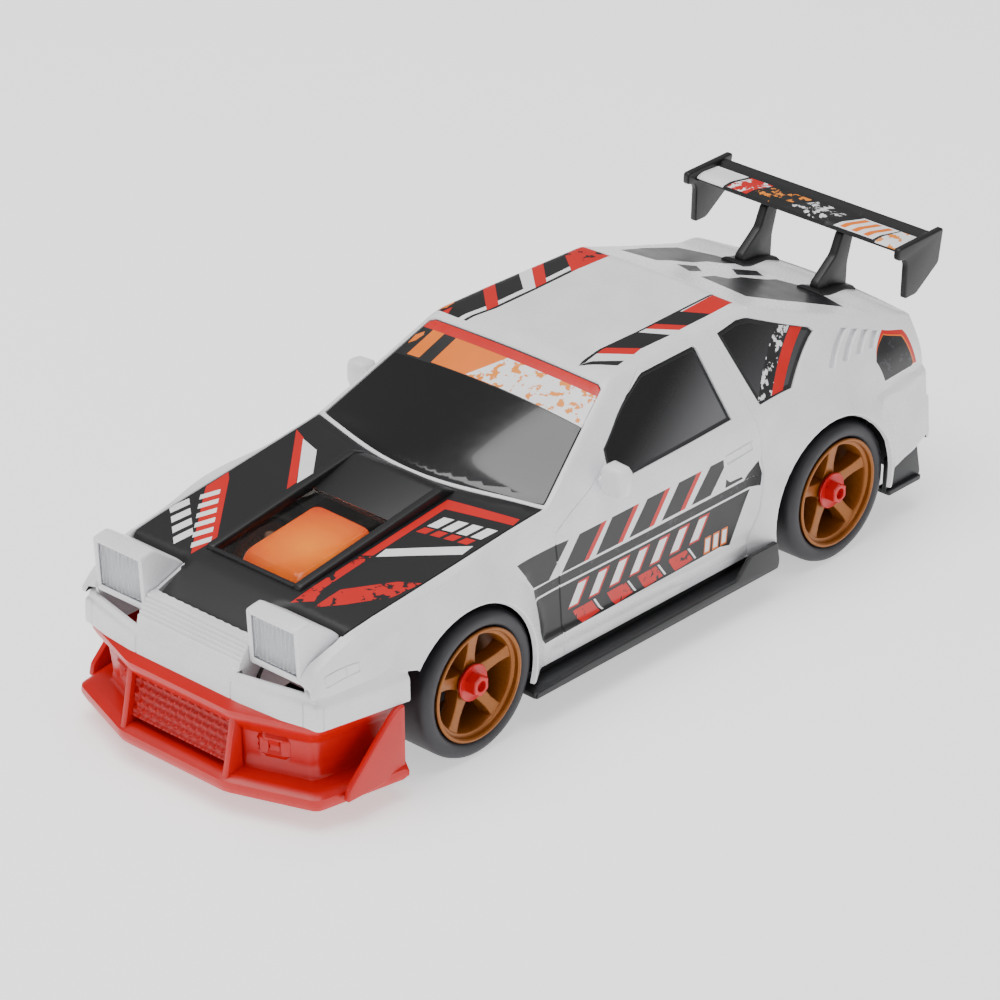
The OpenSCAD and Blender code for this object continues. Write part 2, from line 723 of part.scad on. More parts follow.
module tyre_shape() {
    rotate([90, 0, 90]) difference() {
        rotate_extrude($fn = 96) polygon([
            [rim_r - 0.6, 0.4], [rim_r, 0], [tyre_r - 1.6, 0], [tyre_r, 1.8], [tyre_r, tyre_w - 2.6],
            [tyre_r - 1.3, tyre_w - 0.8], [rim_r + 1.4, tyre_w], [rim_r - 0.6, tyre_w - 0.9]]);
    }
}

module rim_shape(bore) {
    barrel = rim_r - 0.7;
    rotate([90, 0, 90]) difference() {
        union() {
            // barrel and stepped outer lip
            difference() {
                cylinder(h = tyre_w - 1.4, r = barrel, $fn = 96);
                translate([0, 0, -1]) cylinder(h = tyre_w + 2, r = barrel - 1.7, $fn = 96);
            }
            // hub
            translate([0, 0, 11]) cylinder(h = tyre_w - 15.2, r = 4.6, $fn = 64);
            for (i = [0 : spokes - 1]) rotate(90 + 360 / spokes * i) translate([0, 0, tyre_w - 7])
                linear_extrude(3) polygon([[2, -2.9], [barrel - 1, -2.3], [barrel - 1, 2.3], [2, 2.9]]);
        }
        translate([0, 0, -1]) cylinder(h = tyre_w + 2, r = bore, $fn = 64);
    }
}

module nut_shape() {
    rotate([90, 0, 90]) difference() {
        union() {
            translate([0, 0, tyre_w - 4]) cylinder(h = 1.6, r = 5.4, $fn = 64);
            translate([0, 0, tyre_w - 2.5]) cylinder(h = 3.2, r = 3.4, $fn = 6);
        }
        translate([0, 0, tyre_w - 5]) cylinder(h = 8, r = axle_r + 0.1, $fn = 48);
    }
}

// Places its children at a named wheel
module at_wheel(side) {
    y = side[0] == "f" ? front_axle_y : rear_axle_y;
    left = side[len(side) - 1] == "l";
    translate([0, y, axle_z]) mirror([left ? 0 : 1, 0, 0]) translate([tyre_in_x, 0, 0]) children();
}

module tyre(side) color("#38383e") at_wheel(side) tyre_shape();
module rim(side) color(bronze) at_wheel(side) rim_shape(side[0] == "f" ? axle_r + run : axle_r);
module nut(side) color(red) at_wheel(side) nut_shape();

// ---------------------------------------------------------------- assembly

body_shell();
hood_panel();
hood_window();
engine_cover();
light_board();
windshield();
side_window();  // side_window_l
mirror([1, 0, 0]) side_window();  // side_window_r
quarter_window();  // quarter_window_l
mirror([1, 0, 0]) quarter_window();  // quarter_window_r
door_mirror();  // mirror_l
mirror([1, 0, 0]) door_mirror();  // mirror_r
headlamp_pod();  // headlamp_pod_l
mirror([1, 0, 0]) headlamp_pod();  // headlamp_pod_r
headlamp_lens();  // headlamp_lens_l
mirror([1, 0, 0]) headlamp_lens();  // headlamp_lens_r
front_bumper();
side_skirt();  // side_skirt_l
mirror([1, 0, 0]) side_skirt();  // side_skirt_r
rear_winglets();
tail_lamps();
wing_blade();
wing_endplates();
wing_stand(stand_x);  // wing_stand_l
wing_stand(-stand_x);  // wing_stand_r
chassis();
chassis_screws();
battery_door();
door_screw();
battery_pack();
circuit_board();
power_switch();
trim_dial();
motor();
motor_shaft();
pinion();
spur_gear();
rear_axle();
rear_bushes();
gearbox();
steering_servo();
servo_horn();
tie_rod();
kingpins();
knuckle();  // knuckle_l
mirror([1, 0, 0]) knuckle();  // knuckle_r
for (side = wheel_sides) {
    tyre(side);
    rim(side);
    nut(side);
}
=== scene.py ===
import json
import math
import bpy
import numpy as np
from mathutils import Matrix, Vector
from mathutils.geometry import delaunay_2d_cdt

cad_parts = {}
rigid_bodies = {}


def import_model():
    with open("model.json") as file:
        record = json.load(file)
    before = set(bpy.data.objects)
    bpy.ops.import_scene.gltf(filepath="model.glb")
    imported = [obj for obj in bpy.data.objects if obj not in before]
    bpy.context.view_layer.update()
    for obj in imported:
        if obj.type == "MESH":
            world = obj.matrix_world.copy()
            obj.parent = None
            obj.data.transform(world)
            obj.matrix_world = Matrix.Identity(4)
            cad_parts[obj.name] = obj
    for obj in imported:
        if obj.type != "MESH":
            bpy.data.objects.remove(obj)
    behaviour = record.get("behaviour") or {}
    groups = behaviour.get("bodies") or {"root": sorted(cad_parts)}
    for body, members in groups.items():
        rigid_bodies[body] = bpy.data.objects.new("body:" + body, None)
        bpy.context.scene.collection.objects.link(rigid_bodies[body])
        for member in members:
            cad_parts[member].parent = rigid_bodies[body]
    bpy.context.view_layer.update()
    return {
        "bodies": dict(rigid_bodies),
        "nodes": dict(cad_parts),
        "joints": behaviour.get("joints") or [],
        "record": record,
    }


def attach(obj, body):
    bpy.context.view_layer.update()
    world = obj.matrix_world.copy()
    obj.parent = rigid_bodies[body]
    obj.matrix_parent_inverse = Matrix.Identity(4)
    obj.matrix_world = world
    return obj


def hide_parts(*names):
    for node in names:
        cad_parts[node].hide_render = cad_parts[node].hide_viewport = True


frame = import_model()

# ------------------------------------------------------------------ camera and studio
# A long lens from the front left, above the car, in a white studio with one broad
# softbox overhead, a fill on the car's left side and a weak lamp at the nose. The floor is pale and plain.
def srgb(code):
    """Linear colour with alpha 1 of an sRGB hex code: each channel c is c / 12.92 where it is
    small, else ((c + 0.055) / 1.055) to the power 2.4."""
    c = np.array([int(code[i:i + 2], 16) for i in (0, 2, 4)]) / 255
    return (*np.where(c <= 0.04045, c / 12.92, ((c + 0.055) / 1.055) ** 2.4).tolist(), 1.0)


def add(tree, kind, links=None, **settings):
    """One shader node of that kind. A link is input: (node, output); a setting is a property of
    the node, or else the value of its input of that name (underscores read as spaces)."""
    made = tree.nodes.new("ShaderNode" + kind)
    for key, value in settings.items():
        if hasattr(made, key):
            setattr(made, key, value)
        else:
            made.inputs[int(key[2:]) if key[:2] == "in" else key.replace("_", " ")].default_value = value
    for key, (source, output) in (links or {}).items():
        tree.links.new(source.outputs[output], made.inputs[key])
    return made


def wire(tree, shader, **sources):
    """Link the first output of a node to each named input of the shader."""
    for key, source in sources.items():
        tree.links.new(source.outputs[0], shader.inputs[key.replace("_", " ")])


def new_finish(name):
    """A material with its Principled shader: (material, tree, shader)."""
    finish = bpy.data.materials.new(name)
    finish.use_nodes = True
    return finish, finish.node_tree, finish.node_tree.nodes["Principled BSDF"]


lens_place = (0.84147, -0.91809, 0.68823)
camera = bpy.data.objects.new("camera", bpy.data.cameras.new("camera"))
camera.location = lens_place
camera.rotation_euler = (math.radians(62.33), 0.0, math.radians(42.78))
camera.data.lens = 169.9
camera.data.sensor_width = 36
camera.data.clip_start = 0.05
bpy.context.scene.collection.objects.link(camera)
bpy.context.scene.camera = camera

for label, place, aim, size, watts in [
        ("softbox", (-0.15, -0.2, 1.5), (0, 0, 0), (1.3, 1.3), 27),
        ("side_fill", (1.6, 0.1, 0.6), (0, 0, 0.03), (1.0, 0.7), 5.5),
        ("nose_light", (-0.6, -1.5, 0.6), (0, 0, 0.05), (0.8, 0.5), 3)]:
    lamp = bpy.data.objects.new(label, bpy.data.lights.new(label, "AREA"))
    lamp.data.shape, lamp.data.size, lamp.data.size_y, lamp.data.energy = "RECTANGLE", *size, watts
    lamp.location = place
    lamp.rotation_euler = (Vector(aim) - Vector(place)).to_track_quat("-Z", "Y").to_euler()
    bpy.context.scene.collection.objects.link(lamp)

world = bpy.data.worlds.new("studio")
world.use_nodes = True
world.node_tree.nodes["Background"].inputs[0].default_value = (1, 1, 1, 1)
world.node_tree.nodes["Background"].inputs[1].default_value = 0.36
bpy.context.scene.world = world

floor_mesh = bpy.data.meshes.new("floor")
floor_mesh.from_pydata([(-6, -6, 0), (6, -6, 0), (6, 6, 0), (-6, 6, 0)], [], [(0, 1, 2, 3)])
floor = bpy.data.objects.new("floor", floor_mesh)
bpy.context.scene.collection.objects.link(floor)
# Matt studio board: white, a little uneven in tone
board, tree, shader = new_finish("matt_studio_board")
grain = add(tree, "TexNoise", Scale=40.0)
tone = add(tree, "ValToRGB", {"Fac": (grain, "Fac")})
tone.color_ramp.elements[0].color = srgb("f6f6f7")
tone.color_ramp.elements[1].color = srgb("fbfbfb")
wire(tree, shader, Base_Color=tone)
shader.inputs["Emission Color"].default_value = (1, 1, 1, 1)
shader.inputs["Emission Strength"].default_value = 0.75
shader.inputs["Roughness"].default_value = 0.9
floor_mesh.materials.append(board)

# ------------------------------------------------------------------ body shell
# The body is one thin injection-moulded shell of white ABS, screwed to the chassis from below,
# with the race graphics printed on it. Its cross-sections run through seven lines: centre,
# roof edge or hood edge, belt, shoulder, upper and lower sill crease, and lower edge.
front_axle, rear_axle, axle_height = -73.5, 86.5, 22.9
line_s = np.array([0.0, 36, 64, 70, 102, 104.5, 113])   # place of the lines across the unrolled skin
line_round = np.array([0.1, 2.0, 3.0, 3.5, 0.7, 0.7, 0.1])
# y, roof edge x z, centre z, belt x z, shoulder x z, upper crease x z, lower crease x z, edge x z
body_rows = np.array([
    [-134.5, 41.0, 44.5, 44.5, 45.2, 43.6, 46.4, 42.2, 47.2, 34.0, 47.4, 33.0, 47.4, 24.0],
    [-131.0, 41.0, 48.8, 49.2, 45.0, 47.8, 46.6, 45.0, 47.6, 30.0, 47.8, 29.0, 47.8, 20.0],
    [-124.0, 42.4, 52.0, 52.4, 45.2, 51.0, 47.2, 47.6, 49.2, 28.0, 49.4, 27.0, 49.4, 16.0],
    [-117.0, 43.6, 54.6, 55.0, 45.6, 53.4, 48.0, 49.6, 50.0, 26.0, 50.2, 25.0, 50.2, 14.8],
    [-108.0, 43.8, 55.9, 56.5, 46.0, 54.6, 48.4, 51.0, 50.4, 25.0, 50.6, 24.0, 50.6, 14.8],
    [-94.0, 44.1, 57.4, 58.2, 46.4, 56.2, 48.4, 52.8, 49.6, 24.8, 50.0, 23.8, 50.0, 14.8],
    [-73.5, 44.4, 59.6, 60.6, 46.4, 58.4, 47.6, 54.4, 48.2, 24.8, 48.8, 23.8, 48.8, 14.8],
    [-54.0, 44.7, 61.8, 62.8, 46.2, 60.4, 47.2, 56.0, 47.8, 24.8, 48.8, 23.4, 48.6, 14.6],
    [-47.0, 44.9, 62.5, 63.5, 46.3, 61.0, 47.2, 56.6, 47.8, 24.8, 48.8, 23.3, 48.6, 14.6],
    [-38.0, 45.3, 63.4, 68.0, 46.4, 61.2, 47.2, 57.0, 47.8, 24.7, 48.8, 23.2, 48.6, 14.6],
    [-1.0, 35.4, 85.9, 86.4, 46.3, 60.2, 47.3, 56.0, 47.8, 23.2, 48.8, 21.7, 48.6, 14.6],
    [3.0, 34.9, 87.0, 87.8, 46.3, 60.1, 47.3, 56.0, 47.8, 23.0, 48.8, 21.5, 48.6, 14.6],
    [25.0, 34.2, 87.3, 88.2, 46.3, 60.0, 47.3, 56.0, 47.8, 22.0, 48.8, 20.5, 48.6, 14.6],
    [62.5, 32.8, 87.4, 88.1, 46.2, 60.2, 47.4, 56.0, 48.0, 20.6, 48.8, 19.2, 48.6, 14.8],
    [90.0, 37.2, 77.0, 77.9, 45.8, 60.4, 47.8, 56.2, 48.4, 20.6, 48.8, 19.2, 48.6, 15.6],
    [119.0, 41.2, 67.0, 68.0, 44.8, 59.6, 47.0, 54.6, 48.0, 22.0, 48.2, 20.8, 48.0, 17.0],
    [127.0, 41.2, 66.4, 67.4, 44.2, 59.0, 46.4, 53.6, 47.8, 24.0, 48.0, 22.8, 47.8, 19.0],
    [134.6, 39.6, 62.6, 64.6, 43.2, 56.6, 45.4, 51.6, 47.2, 27.0, 47.4, 26.0, 47.2, 23.0],
    ])
arch_lead = 4.2       # the arches are centred this far ahead of their wheels
arch_radius = 27.0


def hinge(t, soft):
    """Straight ramp max(t, 0) whose corner is a parabola soft wide on either side."""
    inside = (t + soft) ** 2 / (4 * soft)
    return np.where(t <= -soft, 0.0, np.where(t >= soft, t, inside))


def bent_line(t, knots, values, soft):
    """Broken line through (knots, values) with its corners rounded: the first slope, plus at each
    knot the change of slope times a soft hinge."""
    slopes = np.diff(values) / np.diff(knots)
    out = values[0] + slopes[0] * (t - knots[0])
    for knot, turn in zip(knots[1:-1], np.diff(slopes)):
        out = out + turn * hinge(t - knot, soft)
    return out


def skin(y, s):
    """Body surface. Across the car it is the broken line through that section's seven points,
    rounded at each by a soft hinge, with a parabola's crown over the top. Along the car each
    point follows its own rounded broken line. A round flare swells over each wheel, and the
    rear bumper stands proud as a soft step."""
    column = [bent_line(y, body_rows[:, 0], body_rows[:, i], 1.6) for i in range(1, 14)]
    xs = np.stack([0 * y] + column[0:1] + column[3::2])
    zs = np.stack([column[2], column[1]] + column[4::2])
    side, depth = np.sign(s), np.abs(s)
    step = np.diff(line_s)[:, None]
    slope_x, slope_z = np.diff(xs, axis=0) / step, np.diff(zs, axis=0) / step
    x, z = xs[0] + slope_x[0] * depth, zs[0] + slope_z[0] * depth
    for i in range(1, len(line_s) - 1):
        turn = hinge(depth - line_s[i], line_round[i])
        x, z = x + (slope_x[i] - slope_x[i - 1]) * turn, z + (slope_z[i] - slope_z[i - 1]) * turn
    across = np.clip(depth / line_s[1], 0, 1)
    z = z + (zs[0] - zs[1]) * across * (1 - across)
    for axle in (front_axle, rear_axle):
        away = np.hypot(y - axle + arch_lead, z - axle_height)
        swell = 54.6 - 0.70 * hinge(away - 26.0, 2.5)
        soft = np.where(z > 46, 2.4, 0.5)
        x = x + hinge(swell - x, soft) * (z < 75) * (depth > 40)
    # rear bumper: a step outwards below a line that rises to the tail
    below = (46.5 + (y - 120) * 0.05 - z)
    ramp = np.clip((y - 101) / 6, 0, 1)
    x = x + 1.5 * ramp * np.clip(below / 1.2, 0, 1) * (y > 90)
    return np.stack([x * np.where(side == 0, 0, side), y, z], -1)


def to_side(loop, side=1):
    """(y, z) points on the body's side as (y, s) points of the unrolled skin."""
    loop = np.asarray(loop, float)
    depth = np.linspace(36, 113, 600)
    level = np.stack([skin(np.full(600, y), depth)[:, 2] for y in loop[:, 0]])
    return np.stack([loop[:, 0], [side * np.interp(-z, -row, depth) for z, row in zip(loop[:, 1], level)]],
                    -1)


def to_top(loop):
    """(x, y) points on the hood, roof or hatch as (y, s) points of the unrolled skin."""
    loop = np.asarray(loop, float)
    depth = np.linspace(0, 60, 600)
    reach = np.stack([skin(np.full(600, y), depth)[:, 0] for y in loop[:, 1]])
    return np.stack([loop[:, 1], [math.copysign(np.interp(abs(x), np.maximum.accumulate(row), depth), x)
                                  for x, row in zip(loop[:, 0], reach)]], -1)


def make(name, points, faces, finishes, which=None, body="car", parts=(), group=None, crisp=38):
    """Mesh piece from points in millimetres: smooth faces with edges sharper than crisp degrees
    kept hard. It rides on the body and stands for the CAD parts. group is not used."""
    mesh = bpy.data.meshes.new(name)
    mesh.from_pydata((np.asarray(points) * 0.001).tolist(), [],
                     [f for block in faces for f in np.asarray(block).tolist()])
    for finish in finishes:
        mesh.materials.append(finish)
    if which is not None:
        mesh.polygons.foreach_set("material_index", np.asarray(which, np.int32))
    mesh.polygons.foreach_set("use_smooth", np.ones(len(mesh.polygons), bool))
    mesh.set_sharp_from_angle(angle=math.radians(crisp))
    mesh.update()
    piece = bpy.data.objects.new(name, mesh)
    bpy.context.scene.collection.objects.link(piece)
    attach(piece, body)
    if parts:
        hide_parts(*parts)
    return piece


def fill(loop, step):
    """Closed loop with its straight runs split so that no span is longer than step."""
    loop = np.asarray(loop, float)
    spans = np.roll(loop, -1, 0) - loop
    counts = np.maximum(1, np.ceil(np.hypot(*spans.T) / step)).astype(int)
    at = np.concatenate([np.arange(n) / n for n in counts])
    owner = np.repeat(np.arange(len(loop)), counts)
    return loop[owner] + spans[owner] * at[:, None]


def inset(loop, gap):
    """Closed loop moved by gap along its own normals, mitred at the corners; gap above 0 moves a
    counter-clockwise loop inwards."""
    ahead = np.roll(loop, -1, 0) - loop
    ahead /= np.hypot(*ahead.T)[:, None] + 1e-9
    behind = np.roll(ahead, 1, 0)
    normal = np.stack([-ahead[:, 1] - behind[:, 1], ahead[:, 0] + behind[:, 0]], -1)
    normal /= np.maximum((normal ** 2).sum(1) / 2, 0.5)[:, None]
    return loop + gap * normal


def within(points, loop):
    """True where a point is inside the closed loop, by counting the edges that it sees on one side."""
    loop = np.asarray(loop, float)
    hit = np.zeros(len(points), bool)
    for a, b in zip(loop, np.roll(loop, -1, 0)):
        if a[1] != b[1]:
            hit ^= ((a[1] > points[:, 1]) != (b[1] > points[:, 1])) & (
                points[:, 0] < (b[0] - a[0]) * (points[:, 1] - a[1]) / (b[1] - a[1]) + a[0])
    return hit


def near(points, line):
    """Distance of each point to a broken line."""
    best = np.full(len(points), 1e9)
    for a, b in zip(line[:-1], line[1:]):
        along = np.clip(((points - a) @ (b - a)) / max((b - a) @ (b - a), 1e-9), 0, 1)
        best = np.minimum(best, np.hypot(*(points - a - along[:, None] * (b - a)).T))
    return best


def moulding(name, surface, outline, finishes, holes=(), inks=(), grooves=(), folds=(), step=1.6,
             wall=1.6, ease=0.35, outward=1, **riding):
    """Thin moulded sheet. A net over the flat outline keeps the outline, the holes, the edges of
    the printed areas and the grooves as its own edges; surface carries it into space, the rims are
    eased, grooves sink in, and the inner skin is the outer one moved in by the wall. Inks are
    (loop, finish number), later ones on top; grooves are (line, half width, depth)."""
    def winding(loop):
        a, b = loop.T
        return 1 if (a * np.roll(b, -1) - np.roll(a, -1) * b).sum() > 0 else -1

    rims = [fill(outline, step)] + [fill(h, step) for h in holes]
    rims = [r if winding(r) > 0 else r[::-1] for r in rims]
    loops = list(rims)
    if ease:
        loops += [inset(r, ease * (1 if i == 0 else -1)) for i, r in enumerate(rims)]
    loops += [fill(loop, step) for loop, _ in inks]
    points, edges, base = [], [], 0
    for loop in loops:
        ids = np.arange(len(loop)) + base
        points.append(loop)
        edges.append(np.stack([ids, np.roll(ids, -1)], -1))
        base += len(loop)
    lines = []
    for line, half, _ in grooves:
        line = np.asarray(line, float)
        ahead = np.gradient(line, axis=0)
        across = np.stack([-ahead[:, 1], ahead[:, 0]], -1) / (np.hypot(*ahead.T)[:, None] + 1e-9)
        lines += [line + k * across for k in (-half, 0, half)]
    lines += [np.asarray(f, float) for f in folds]
    for line in lines:
        runs = [(a, b, max(2, int(np.hypot(*(b - a)) / step) + 2)) for a, b in zip(line[:-1], line[1:])]
        cuts = np.concatenate([np.linspace(0, 1, n)[:-1, None] * (b - a) + a for a, b, n in runs] + [line[-1:]])
        ids = np.arange(len(cuts)) + base
        points.append(cuts)
        edges.append(np.stack([ids[:-1], ids[1:]], -1))
        base += len(cuts)
    kept = np.concatenate(points)
    low, high = kept.min(0), kept.max(0)
    across, along = np.meshgrid(np.arange(low[0], high[0], step), np.arange(low[1], high[1], step * 0.866),
                                indexing="ij")
    across = across + (np.arange(across.shape[1]) % 2) * step / 2
    net = np.stack([across.ravel(), along.ravel()], -1)
    cell = step * 0.55
    size = ((high - low) / cell).astype(int) + 5
    taken = np.zeros(size, bool)
    spots = ((kept - low) / cell).astype(int) + 2
    for dx in (-1, 0, 1):
        for dy in (-1, 0, 1):
            taken[np.clip(spots[:, 0] + dx, 0, size[0] - 1), np.clip(spots[:, 1] + dy, 0, size[1] - 1)] = True
    spots = np.clip(((net - low) / cell).astype(int) + 2, 0, size - 1)
    net = net[~taken[spots[:, 0], spots[:, 1]]]
    net = net[within(net, rims[0])]
    for hole in rims[1:]:
        net = net[~within(net, hole)]
    flat = np.concatenate([kept, net])
    done = delaunay_2d_cdt([Vector(p) for p in flat.tolist()], np.concatenate(edges).tolist(), [], 0, 1e-5,
                           False)
    flat = np.array([tuple(p) for p in done[0]])
    tris = np.array(done[2])
    middle = flat[tris].mean(1)
    keep = within(middle, rims[0])
    for hole in rims[1:]:
        keep &= ~within(middle, hole)
    tris = tris[keep]
    used, tris = np.unique(tris, return_inverse=True)
    flat, tris = flat[used], tris.reshape(-1, 3)
    a, b = flat.T
    place = surface(a, b)
    normal = np.cross(surface(a + 0.05, b) - surface(a - 0.05, b),
                      surface(a, b + 0.05) - surface(a, b - 0.05))
    normal *= outward / (np.linalg.norm(normal, axis=1)[:, None] + 1e-12)
    sink = np.zeros(len(flat))
    for line, half, depth in grooves:
        sink = np.maximum(sink, depth * np.clip(1 - near(flat, np.asarray(line, float)) / half, 0, 1))
    if ease:
        edge = np.full(len(flat), 9.0)
        for rim in rims:
            edge = np.minimum(edge, near(flat, np.vstack([rim, rim[:1]])))
        sink += ease * 0.8 * (1 - np.sqrt(1 - np.clip(1 - edge / ease, 0, 1) ** 2))
    outer, inner = place - sink[:, None] * normal, place - wall * normal
    which = np.zeros(len(tris), int)
    middle = flat[tris].mean(1)
    for loop, number in inks:
        which[within(middle, loop)] = number
    pairs = np.concatenate([tris[:, [0, 1]], tris[:, [1, 2]], tris[:, [2, 0]]])
    _, first, count = np.unique(np.sort(pairs, 1), axis=0, return_index=True, return_counts=True)
    rim = pairs[first[count == 1]]
    n = len(flat)
    if outward < 0:
        tris, rim = tris[:, ::-1], rim[:, ::-1]
    faces = [tris, tris[:, ::-1] + n, np.stack([rim[:, 1], rim[:, 0], rim[:, 0] + n, rim[:, 1] + n], -1)]
    last = len(finishes) - 1
    return make(name, np.concatenate([outer, inner]), faces, finishes,
                np.concatenate([which, np.full(len(tris), last), np.zeros(len(rim), int)]), **riding)


def plastic(name, colour, rough, grain=0.12, dent=0.02, coat=0.0, ior=1.46):
    """Moulded plastic: one colour with the faint mottle that mould flow leaves (patches of about
    12 mm), and a fine texture of grain mm on the surface that breaks up the gloss."""
    finish, tree, shader = new_finish(name)
    place = add(tree, "TexCoord")
    mottle = add(tree, "TexNoise", {"Vector": (place, "Object")}, Scale=80.0, Detail=3.0)
    tone = add(tree, "ValToRGB", {"Fac": (mottle, "Fac")})
    base = np.array(srgb(colour))
    low, high = tone.color_ramp.elements
    low.color, low.position = (*(base[:3] * 0.94), 1), 0.3
    high.color, high.position = (*np.minimum(base[:3] * 1.03, 1), 1), 0.7
    wire(tree, shader, Base_Color=tone)
    fine = add(tree, "TexNoise", {"Vector": (place, "Object")}, Scale=1000 / grain / 4, Detail=2.0)
    sheen = add(tree, "MapRange", {"Value": (fine, "Fac")}, To_Min=rough - 0.05, To_Max=rough + 0.05)
    wire(tree, shader, Roughness=sheen)
    bump = add(tree, "Bump", {"Height": (fine, "Fac")}, Strength=dent, Distance=0.0002)
    wire(tree, shader, Normal=bump)
    shader.inputs["IOR"].default_value = ior
    shader.inputs["Coat Weight"].default_value = coat
    shader.inputs["Coat Roughness"].default_value = 0.12
    return finish


def print_ink(name, colour, worn=0.0, flecks="f4f4f6", size=1.2):
    """Pad-printed ink on plastic, satin. Where worn is above 0, a broken-up pattern of flecks of
    size mm shows the other colour through, like a dry brush stroke."""
    finish, tree, shader = new_finish(name)
    place = add(tree, "TexCoord")
    wave = add(tree, "TexNoise", {"Vector": (place, "Object")}, Scale=1000 / size / 3, Detail=4.0,
               Roughness=0.6)
    cut = add(tree, "ValToRGB", {"Fac": (wave, "Fac")})
    low, high = cut.color_ramp.elements
    low.color, low.position = (1, 1, 1, 1) if worn else (0, 0, 0, 1), 0.5 - worn * 0.5
    high.color, high.position = (0, 0, 0, 1), 0.512 - worn * 0.5
    soft = add(tree, "TexNoise", {"Vector": (place, "Object")}, Scale=120.0, Detail=2.0)
    tone = add(tree, "ValToRGB", {"Fac": (soft, "Fac")})
    base = np.array(srgb(colour))
    tone.color_ramp.elements[0].color = (*(base[:3] * 0.9), 1)
    tone.color_ramp.elements[1].color = (*np.minimum(base[:3] * 1.06, 1), 1)
    mixed = add(tree, "Mix", {"Factor": (cut, "Color")}, data_type="RGBA", blend_type="MIX")
    tree.links.new(tone.outputs[0], mixed.inputs[6])
    mixed.inputs[7].default_value = srgb(flecks)
    tree.links.new(mixed.outputs[2], shader.inputs["Base Color"])
    sheen = add(tree, "MapRange", {"Value": (soft, "Fac")}, To_Min=0.3, To_Max=0.42)
    wire(tree, shader, Roughness=sheen)
    return finish


# Moulded white ABS with a satin-gloss surface: soft highlights, very slight mottle
white_abs = plastic("moulded_white_abs", "eeeef1", 0.28)
ink_black = print_ink("printed_black_ink", "141416")
ink_red = print_ink("printed_red_ink", "cc0c06")
ink_orange = print_ink("printed_orange_ink", "f07602")
ink_white = print_ink("printed_white_ink", "f4f4f6")
# Worn print: red flakes over black, and pale flecks over black
ink_red_worn = print_ink("worn_red_print", "cc0c06", 0.2, "141416", 1.0)
ink_track = print_ink("tyre_track_print", "17171a", 0.22, "323237", 0.8)
# Near-black colour for the inner skin of the shell and its inset pieces: painted shade for the dark inside of
# the white shell and its wheel wells
inside_painted_shade = plastic("black_inside_painted_shade", "151517", 0.6)
body_finishes = [white_abs, ink_black, ink_red, ink_orange, ink_white, ink_red_worn, ink_track, inside_painted_shade]


def arc(axle, start, stop, radius=arch_radius, count=28):
    """Points (y, z) of a wheel arch, angles in degrees from the rear horizontal."""
    turn = np.radians(np.linspace(start, stop, count))
    return np.stack([axle - arch_lead + radius * np.cos(turn), axle_height + radius * np.sin(turn)], -1)


def both(loop):
    """A loop on the unrolled skin and its mirror image."""
    return [loop, loop * (1, -1)]


dip = math.degrees(math.asin((axle_height - 14.8) / arch_radius))
lower_edge = np.concatenate([
    [[-134.3, 43.0], [-133.8, 41.2], [-128, 40.6], [-99.6, 39.4]],
    arc(front_axle, 180 - math.degrees(math.asin(16.0 / arch_radius)), -dip),
    [[-45, 14.7], [0, 14.7], [52, 14.8]],
    arc(rear_axle, 180 + dip, -12),
    [[112, 18.2], [122, 20.5], [134.4, 24.5]]])
left_edge = to_side(lower_edge)
cowl_s = np.linspace(36.2, -36.2, 25)
cowl_y = -38.3 - 9.0 * (1 - (cowl_s / 36.2) ** 2)
skin_outline = np.concatenate([
    left_edge, [[134.4, 80], [134.4, 60], [134.4, 36], [134.4, 12]],
    [[134.4, -12], [134.4, -36], [134.4, -60], [134.4, -80]],
    (left_edge * (1, -1))[::-1], [[-134.2, -36.4], [-117.0, -36.3]],
    np.stack([cowl_y, cowl_s], -1)[::-1] - (0.6, 0),
    [[-117.0, 36.3], [-134.2, 36.4]]])
windshield_edge = np.concatenate([np.stack([cowl_y, cowl_s * 0.972], -1) + (0.5, 0),
                                  [[-3.0, -34.3], [-1.9, -32.5], [-1.7, 0], [-1.9, 32.5], [-3.0, 34.3]]])
side_window_edge = to_side([[-10.7, 65.8], [-4.4, 60.6], [43.3, 61.6], [38.0, 83.8], [37.0, 84.6],
                            [13.4, 84.6], [11.6, 84.0], [-10.1, 70.6]])
quarter_edge = to_side([[48.4, 84.6], [57.7, 85.4], [86.6, 74.6], [88.0, 73.0], [71.2, 62.0], [56.2, 61.6]])
vents = [to_side([[y, z], [y + 2.4, z - 0.9], [y - 9.2 + i * 2.5, z - 8.6 + i * 1.3],
                  [y - 11.4 + i * 2.5, z - 7.8 + i * 1.3]])
         for i, (y, z) in enumerate([(100.0, 70.3), (104.6, 68.6), (109.0, 67.0), (113.0, 65.4)])]


def side_ink(loops, number):
    """Each loop of (y, z) points, and its mirror image on the other side, in that finish."""
    return [(half, number) for loop in loops for half in both(to_side(loop))]


